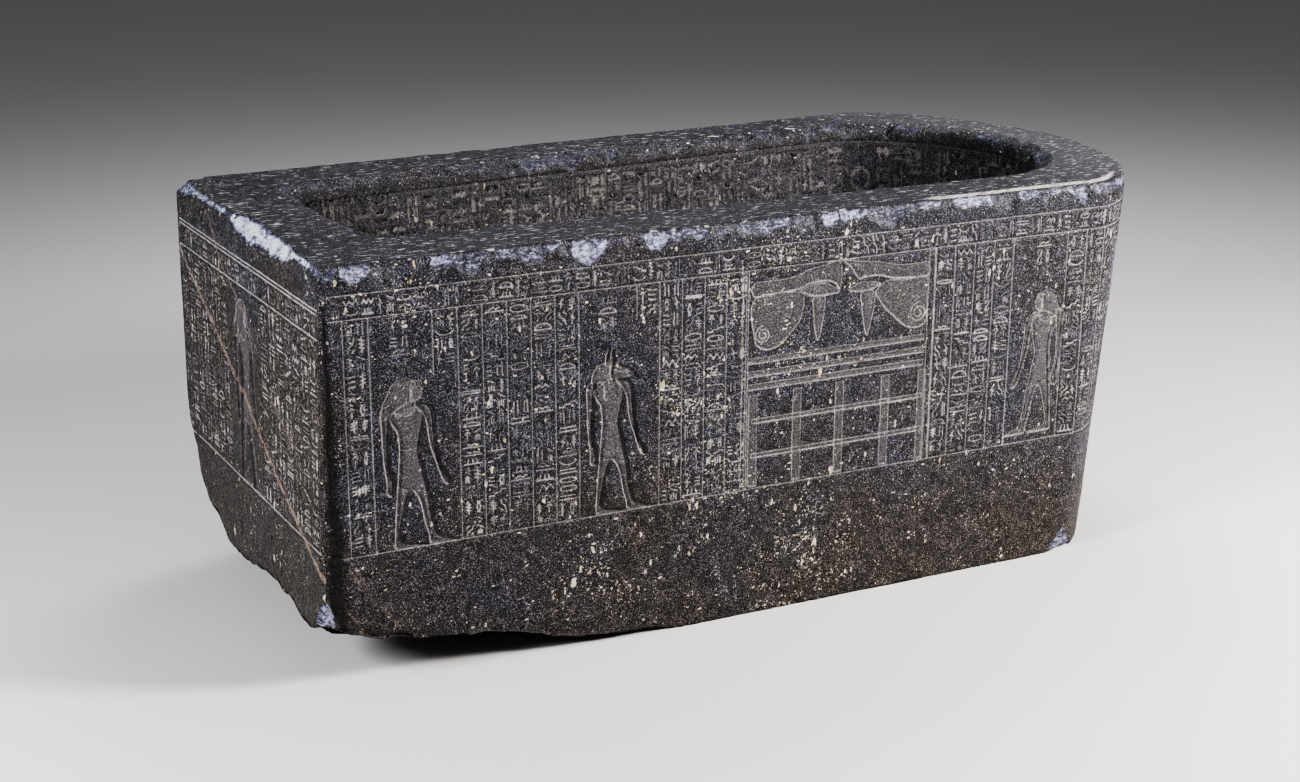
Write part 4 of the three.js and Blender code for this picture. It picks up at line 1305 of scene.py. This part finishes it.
# Where the pale flecks gather: centre, radius and strength.
FLECK_SWARMS = (
    ((-0.31, -0.66, 0.66), 0.14, 1.0), ((-0.20, -0.66, 0.93), 0.13, 1.0),
    ((-0.07, -0.67, 1.02), 0.10, 0.8), ((-0.03, -0.67, 0.74), 0.14, 0.9),
    ((-0.25, -0.65, 0.40), 0.18, 0.8), ((0.00, -0.65, 0.15), 0.25, 0.9),
    ((-1.15, -0.64, 1.05), 0.12, 0.8), ((-1.29, -0.63, 0.98), 0.07, 0.7),
    ((-0.90, -0.64, 0.68), 0.12, 0.4), ((0.40, -0.67, 0.22), 0.10, 0.5),
    ((-0.60, -0.65, 0.20), 0.20, 0.5), ((0.15, -0.67, 0.98), 0.15, 0.5),
)

# Sizes of pale grains: scale of the pattern, its turn and stretch, least and greatest size of a grain
# as a share of its cell, and the share of cells that are filled where flecks gather.
FLECK_SIZES = (
    (44.0, (0.2, 0.7, 0.1), (1.0, 1.0, 0.42), 0.10, 0.36, 0.34),
    (82.0, (0.3, 0.9, 0.2), (1.0, 1.0, 0.45), 0.14, 0.42, 0.50),
    (140.0, (0.2, -0.6, 0.4), (0.5, 1.0, 1.0), 0.15, 0.46, 0.60),
    (250.0, (0.8, 0.2, 0.1), (1.0, 0.8, 0.6), 0.20, 0.50, 0.55),
)

# The sheet-like vein inside the hollow: the plane's normal, its offset, half width and waver, and the
# middle of the stretch that shows.
SHEET_NORMAL = (0.965, 0.10, -0.245)
SHEET_OFFSET = -0.252
SHEET_WIDTH = 0.0050
SHEET_WAVER = 0.05
SHEET_CENTRE = (-0.04, 0.45, 1.0)


class StoneGraph(Graph):
    """The stone's layers. Each takes the colour below it and gives the colour with the layer on."""

    def __init__(self, material):
        super().__init__(material)
        self.position = self.add("TexCoord").outputs["Object"]
        place = self.add("SeparateXYZ", {"Vector": self.position}).outputs
        self.x, self.z = place[0], place[2]
        self.grain = self.noise(self.position, 250.0, 3.0, 0.8)
        self.mottle = self.noise(self.position, 38.0, 4.0, 0.65)
        self.on_top = self.ramp(self.z, RIM_Z - 0.006, RIM_Z - 0.002)
        self.cut = self.attribute("cut")
        self.dressed = self.attribute("dressed")
        self.chip = self.attribute("chip")

    def away_from(self, centre):
        """Distance to a point."""
        node = self.add("VectorMath", {0: self.position, 1: centre}, operation="DISTANCE")
        return node.outputs["Value"]

    def scaled(self, scale):
        """The position, stretched along the axes."""
        return self.add("Mapping", {"Vector": self.position, "Scale": scale}).outputs[0]

    def ground(self):
        """Dark and light grains and a few crumbs: bluish above, a painted cool light from overhead, and
        brownish low down and on the foot end.
        """
        cloud = self.noise(self.position, 3.2, 5.0, 0.6)
        low = self.times(self.math("SUBTRACT", 0.62, self.z), 1.6)
        side = self.math("MAXIMUM", self.ramp(self.x, -1.345, -1.375), low)
        # the bluish end of this mix is a painted cool light from overhead; the brown end is the stone's
        # lower and foot-end tone
        brown_vs_top_light = self.math("ADD", side, self.times(self.math("SUBTRACT", cloud, 0.5), 3.0), clamp=True)
        deep = self.mix(brown_vs_top_light, rgb(0.0040, 0.0040, 0.0062), rgb(0.0058, 0.0045, 0.0038))
        light = self.mix(brown_vs_top_light, rgb(0.205, 0.198, 0.255), rgb(0.235, 0.188, 0.160))
        mixed = self.plus(self.times(self.mottle, 0.18), self.times(self.grain, 0.82))
        colour = self.mix(self.ramp(mixed, 0.53, 0.61), deep, light)
        crumbs = self.ramp(self.noise(self.position, 430.0, 2.0, 0.6), 0.60, 0.68)
        return self.mix(self.times(crumbs, 0.7), colour, rgb(0.34, 0.32, 0.33))

    def rim(self, colour):
        """The rim: a painted sheen that lightens it towards the head, and short pale streaks along
        its length that are scratches and painted glints both.
        """
        # painted sheen: the rim's top is lightened towards the head, as a reflection would light it
        painted_sheen = self.times(self.ramp(self.x, 0.70, 1.25), 0.55)
        colour = self.mix(self.times(self.on_top, painted_sheen), colour, rgb(0.13, 0.125, 0.135))
        # pale streaks on the rim's top: scratches and painted glints both
        streaks_and_glints = self.ramp(self.noise(self.scaled((26.0, 120.0, 1.0)), 1.0, 3.0, 0.6), 0.605, 0.65)
        return self.mix(self.times(self.on_top, streaks_and_glints, 0.85), colour, rgb(0.58, 0.56, 0.57))

    def worked(self, colour):
        """Dressed surfaces, a little paler, and cut lines, pale and worn away in places."""
        dressed = self.mix(self.ramp(self.grain, 0.35, 0.65), rgb(0.022, 0.020, 0.022),
                           rgb(0.215, 0.198, 0.200))
        colour = self.mix(self.dressed, colour, dressed)
        wear = self.ramp(self.noise(self.position, 26.0, 4.0, 0.7), 0.30, 0.58)
        line = self.times(self.ramp(self.cut, 0.30, 0.95), self.ramp(self.grain, 0.30, 0.52))
        line = self.times(line, self.math("MULTIPLY_ADD", wear, 0.6, 0.4))
        return self.mix(line, colour, rgb(0.47, 0.44, 0.42))

    def grains(self, scale, turn, stretch, low, high, density):
        """Elongated pale grains: cells of a stretched Voronoi pattern, a random few of them filled."""
        noise = self.add("TexNoise", {"Vector": self.position, "Scale": scale * 1.6, "Detail": 2.0})
        shift = self.add("VectorMath", {0: noise.outputs["Color"], 1: (0.9 / scale,) * 3},
                         operation="MULTIPLY").outputs[0]
        bent = self.add("VectorMath", {0: self.position, 1: shift}, operation="ADD").outputs[0]
        placed = self.add("Mapping", {"Vector": bent, "Rotation": turn, "Scale": stretch}).outputs[0]
        settings = {"Vector": placed, "Scale": scale, "Randomness": 1.0}
        cells = self.add("TexVoronoi", settings, feature="F1")
        split = self.add("SeparateColor", {"Color": cells.outputs["Color"]})
        chosen = self.math("LESS_THAN", split.outputs[0], density)
        size = self.math("MULTIPLY_ADD", split.outputs[1], high - low, low)
        inside = self.ramp(self.math("SUBTRACT", size, cells.outputs["Distance"]), 0.0, 0.06)
        return self.times(inside, chosen)

    def flecks(self, colour):
        """Cream flecks of four sizes, thick in the swarms and thin elsewhere."""
        swarm = 0.06
        for centre, radius, strength in FLECK_SWARMS:
            near = self.ramp(self.away_from(centre), radius, radius * 0.2)
            swarm = self.math("MAXIMUM", swarm, self.times(near, strength))
        patchy = self.ramp(self.noise(self.position, 9.0, 4.0, 0.6), 0.40, 0.62)
        density = self.times(self.math("MULTIPLY_ADD", swarm, 0.85, 0.07), patchy)
        pale = 0.0
        for scale, turn, stretch, low, high, share in FLECK_SIZES:
            spots = self.grains(scale, turn, stretch, low, high, self.times(density, share))
            pale = self.math("MAXIMUM", pale, spots)
        cream = self.mix(self.ramp(self.mottle, 0.35, 0.65), rgb(0.36, 0.28, 0.19), rgb(0.66, 0.61, 0.53))
        return self.mix(self.times(pale, 0.9), colour, cream)

    def veins(self, colour):
        """Tan veins: the grid's own, and a thin sheet, which is a plane bent by noise."""
        bent = self.math("SUBTRACT", self.noise(self.position, 6.0, 4.0), 0.5)
        along = self.add("VectorMath", {0: self.position, 1: SHEET_NORMAL}, operation="DOT_PRODUCT")
        away = self.math("SUBTRACT", along.outputs["Value"], SHEET_OFFSET)
        away = self.math("ABSOLUTE", self.plus(away, self.times(bent, SHEET_WAVER)))
        sheet = self.times(self.ramp(away, SHEET_WIDTH, SHEET_WIDTH * 0.25),
                           self.ramp(self.away_from(SHEET_CENTRE), 0.35, 0.15))
        tan = self.math("MAXIMUM", self.attribute("vein"), self.times(sheet, 0.6))
        tan = self.times(tan, self.ramp(self.noise(self.position, 60.0, 4.0, 0.7), 0.38, 0.56))
        shade = self.mix(self.mottle, rgb(0.15, 0.090, 0.065), rgb(0.38, 0.29, 0.235))
        return self.mix(tan, colour, shade)

    def breaks(self, colour):
        """Broken faces: dark violet, then bruised bluish grains, then whiter crystal where a break is
        fresh;
        these pale tones are fresh stone and painted glare both. Also gives where it is fresh."""
        chip = self.chip
        colour = self.mix(self.times(self.ramp(chip, 0.05, 0.35), 0.6), colour, rgb(0.030, 0.031, 0.052))
        broken = self.noise(self.position, 46.0, 5.0, 0.75)
        splinter = self.noise(self.scaled((0.55, 1.0, 1.0)), 120.0, 4.0, 0.8)
        bruised_and_glare = self.times(self.ramp(chip, 0.04, 0.50), self.ramp(splinter, 0.50, 0.60), 0.85)
        # painted glare: bluish highlights on the broken faces, over their own darker stone
        colour = self.mix(bruised_and_glare, colour, rgb(0.36, 0.36, 0.50))
        fresh_and_glare = self.times(self.ramp(chip, 0.35, 0.90), self.ramp(broken, 0.43, 0.56),
                           self.ramp(splinter, 0.40, 0.52))
        painted_highlight = self.times(self.ramp(chip, 0.80, 1.0), self.ramp(broken, 0.41, 0.50))
        fresh_and_glare = self.times(self.math("MAXIMUM", fresh_and_glare, painted_highlight), self.ramp(self.grain, 0.34, 0.50))
        # painted glare: the whitest crystal on fresh breaks
        crystal_and_glare = self.mix(self.ramp(chip, 0.80, 1.0), rgb(0.42, 0.43, 0.60), rgb(0.60, 0.61, 0.68))
        return self.mix(self.times(fresh_and_glare, 0.9), colour, crystal_and_glare), fresh_and_glare

    def roughness(self, fresh_and_glare):
        """Duller where the stone is cut, dressed or freshly broken, and on the rim."""
        worked = self.math("MAXIMUM", self.math("MAXIMUM", self.cut, self.dressed), fresh_and_glare)
        plain = self.math("MULTIPLY_ADD", self.on_top, 0.22, 0.34)
        return self.plus(self.times(worked, 0.22), self.math("MULTIPLY_ADD", self.mottle, 0.30, plain))

    def bump(self):
        """Grain as fine and coarse noise, stronger on the rim."""
        fine = self.times(self.math("SUBTRACT", self.grain, 0.5), 0.0014)
        coarse = self.times(self.math("SUBTRACT", self.noise(self.position, 90.0, 4.0, 0.7), 0.5), 0.0022)
        height = self.times(self.plus(fine, coarse), self.math("MULTIPLY_ADD", self.on_top, 1.6, 1.0))
        return self.add("Bump", {"Height": height, "Strength": 0.8, "Distance": 1.0}).outputs[0]


def stone_material():
    """Dark granular stone with pale flecks, tan veins, paler cuts and pale bluish fresh breaks. Painted
    light
    comes on top: glare on the breaks, a sheen and glints on the rim, a highlight on the rim's step,
    highlights and shadows on the figures' edges, a cool tint above, and shade in a groove and the hollow.
    """
    existing = bpy.data.materials.get("speckled_stone")
    if existing:
        return existing
    material = bpy.data.materials.new("speckled_stone")
    material.use_nodes = True
    graph = StoneGraph(material)
    colour = graph.veins(graph.flecks(graph.worked(graph.rim(graph.ground()))))
    colour, fresh_and_glare = graph.breaks(colour)
    # painted shade: the colour goes almost black in the corner groove, on the figures' shaded edges and
    # in the hollow
    colour = graph.mix(graph.times(graph.attribute("painted_shade"), 0.85), colour, rgb(0.006, 0.005, 0.005))
    shader = graph.add("BsdfPrincipled", {
        "Base Color": colour, "Roughness": graph.roughness(fresh_and_glare), "Normal": graph.bump(),
    })
    shader.inputs["Specular IOR Level"].default_value = bpy.context.scene.chest_look.shine
    output = graph.add("OutputMaterial")
    graph.tree.links.new(shader.outputs[0], output.inputs["Surface"])
    return material


# --- The add-on ----------------------------------------------------------------------------------

class ChestLook(bpy.types.PropertyGroup):
    """Finish of the stone and size of the carving's grid."""
    grid_step: bpy.props.FloatProperty(
        name="Grid step", description="Distance between points along the carved near side",
        default=0.0034, min=0.002, max=0.02, unit="LENGTH")
    shine: bpy.props.FloatProperty(
        name="Shine", description="Strength of the stone's reflections", default=0.28, min=0.0, max=1.0,
        subtype="FACTOR")


class ChestStage(bpy.types.PropertyGroup):
    """Floor, light and camera."""
    floor_size: bpy.props.FloatProperty(
        name="Floor size", description="Side of the square floor", default=60.0, unit="LENGTH")
    floor_colour: bpy.props.FloatVectorProperty(
        name="Floor colour", description="Colour of the plain floor", default=(0.62, 0.61, 0.60),
        subtype="COLOR", size=3, min=0.0, max=1.0)
    key_power: bpy.props.FloatProperty(
        name="Key power", description="Strength of the main light", default=600.0, min=0.0, unit="POWER")


class CHEST_OT_near_side(bpy.types.Operator):
    """Builds the near long side in three stretches"""
    bl_idname = "chest.near_side"
    bl_label = "Near long side"

    def execute(self, context):
        step = context.scene.chest_look.grid_step
        for number, (first, last) in enumerate(zip(NEAR_CUTS[:-1], NEAR_CUTS[1:]), 1):
            wall_piece(f"near_side_{number}", spaced(first, last, step), carve_near)
        return {"FINISHED"}


class CHEST_OT_head_end(bpy.types.Operator):
    """Builds the rounded head end in two stretches"""
    bl_idname = "chest.head_end"
    bl_label = "Head end"

    def execute(self, context):
        step = context.scene.chest_look.grid_step
        wall_piece("head_end_near", spaced(RUN_HEAD, RUN_APEX, step * 1.3), carve_bands)
        wall_piece("head_end_far", spaced(RUN_APEX, RUN_FAR, step * 2), carve_bands, 0.0055, 0.020)
        return {"FINISHED"}


class CHEST_OT_far_side(bpy.types.Operator):
    """Builds the far long side"""
    bl_idname = "chest.far_side"
    bl_label = "Far long side"

    def execute(self, context):
        step = context.scene.chest_look.grid_step
        wall_piece("far_side", spaced(RUN_FAR, RUN_FOOT, step * 1.9), carve_far, 0.0060, 0.020)
        return {"FINISHED"}


class CHEST_OT_foot_end(bpy.types.Operator):
    """Builds the flat foot end"""
    bl_idname = "chest.foot_end"
    bl_label = "Foot end"

    def execute(self, context):
        step = context.scene.chest_look.grid_step
        wall_piece("foot_end", spaced(RUN_FOOT, RUN_END, step * 1.2), carve_foot)
        return {"FINISHED"}


class CHEST_OT_hollow(bpy.types.Operator):
    """Builds the hollow with the rim's inner edge"""
    bl_idname = "chest.hollow"
    bl_label = "Hollow"

    def execute(self, context):
        hollow_piece("hollow")
        return {"FINISHED"}


class CHEST_OT_underside(bpy.types.Operator):
    """Builds the base with its broken foot end"""
    bl_idname = "chest.underside"
    bl_label = "Underside"

    def execute(self, context):
        underside_piece("underside")
        return {"FINISHED"}


# Square area lights: name, place, target, side, share of the key power, and colour.
LIGHTS = (
    ("key", (3.8, -3.9, 3.1), (-0.2, -0.6, 0.6), 1.2, 0.93, (1.0, 0.97, 0.94)),
    ("left", (-5.0, -1.6, 2.8), (-1.3, 0.0, 0.7), 1.3, 0.42, (0.95, 0.97, 1.0)),
    ("top", (1.5, 2.8, 5.0), (0.3, 0.2, 1.0), 2.2, 0.20, (0.90, 0.94, 1.0)),
)


def area_light(name, place, target, side, power, colour):
    """Adds a square light that looks at a target."""
    data = bpy.data.lights.new(name, "AREA")
    data.shape = "RECTANGLE"
    data.size = data.size_y = side
    data.energy = power
    data.color = colour
    light = bpy.data.objects.new(name, data)
    bpy.context.scene.collection.objects.link(light)
    light.location = place
    light.rotation_euler = (Vector(target) - Vector(place)).to_track_quat("-Z", "Y").to_euler()


def floor_plane(size, colour):
    """A plain square floor at height 0."""
    half = size / 2
    corners = [(-half, -half, 0), (half, -half, 0), (half, half, 0), (-half, half, 0)]
    mesh = bpy.data.meshes.new("floor")
    mesh.from_pydata(corners, [], [(0, 1, 2, 3)])
    floor = bpy.data.objects.new("floor", mesh)
    bpy.context.scene.collection.objects.link(floor)
    material = bpy.data.materials.new("floor")
    material.use_nodes = True
    shader = material.node_tree.nodes["Principled BSDF"]
    shader.inputs["Base Color"].default_value = (*colour, 1.0)
    shader.inputs["Roughness"].default_value = 0.9
    mesh.materials.append(material)
    return floor


class CHEST_OT_stage(bpy.types.Operator):
    """Adds the plain floor, the studio lights and the camera"""
    bl_idname = "chest.stage"
    bl_label = "Stage"

    def execute(self, context):
        stage = context.scene.chest_stage
        floor = floor_plane(stage.floor_size, stage.floor_colour)

        world = bpy.data.worlds.new("studio")
        world.use_nodes = True
        background = world.node_tree.nodes["Background"]
        background.inputs["Color"].default_value = (0.90, 0.92, 0.95, 1.0)
        background.inputs["Strength"].default_value = 0.15
        context.scene.world = world
        context.scene.view_settings.view_transform = "AgX"
        context.scene.view_settings.look = "AgX - Very High Contrast"
        for name, place, target, side, share, colour in LIGHTS:
            area_light(name, place, target, side, stage.key_power * share, colour)

        data = bpy.data.cameras.new("camera")
        data.sensor_width = 36.0
        data.lens = CAMERA_LENS
        data.clip_end = 200.0
        camera = bpy.data.objects.new("camera", data)
        context.scene.collection.objects.link(camera)
        look = (CAMERA_AIM - CAMERA_PLACE).to_track_quat("-Z", "Y").to_matrix().to_4x4()
        roll = Matrix.Rotation(CAMERA_ROLL, 4, "Z")
        camera.matrix_world = Matrix.Translation(CAMERA_PLACE) @ look @ roll
        context.scene.camera = camera
        return {"FINISHED"}


class CHEST_PT_panel(bpy.types.Panel):
    """Sizes and the builders of each part"""
    bl_idname = "CHEST_PT_panel"
    bl_label = "Sarcophagus chest"
    bl_space_type = "VIEW_3D"
    bl_region_type = "UI"
    bl_category = "Chest"

    def draw(self, context):
        layout = self.layout
        layout.prop(context.scene.chest_look, "grid_step")
        layout.prop(context.scene.chest_look, "shine")
        layout.prop(context.scene.chest_stage, "floor_size")
        layout.prop(context.scene.chest_stage, "floor_colour")
        layout.prop(context.scene.chest_stage, "key_power")
        for operator in OPERATORS:
            layout.operator(operator.bl_idname)


OPERATORS = (
    CHEST_OT_stage, CHEST_OT_near_side, CHEST_OT_head_end, CHEST_OT_far_side, CHEST_OT_foot_end,
    CHEST_OT_hollow, CHEST_OT_underside,
)
CLASSES = (ChestLook, ChestStage, *OPERATORS, CHEST_PT_panel)


def register():
    """Makes the classes and the two groups of settings known to Blender."""
    for item in CLASSES:
        bpy.utils.register_class(item)
    bpy.types.Scene.chest_look = bpy.props.PointerProperty(type=ChestLook)
    bpy.types.Scene.chest_stage = bpy.props.PointerProperty(type=ChestStage)


def unregister():
    """Undoes register."""
    del bpy.types.Scene.chest_stage
    del bpy.types.Scene.chest_look
    for item in reversed(CLASSES):
        bpy.utils.unregister_class(item)


def main():
    """Builds the stage and every piece."""
    register()
    bpy.ops.chest.stage()
    bpy.ops.chest.near_side()
    bpy.ops.chest.head_end()
    bpy.ops.chest.far_side()
    bpy.ops.chest.foot_end()
    bpy.ops.chest.hollow()
    bpy.ops.chest.underside()


if __name__ == "__main__":
    main()
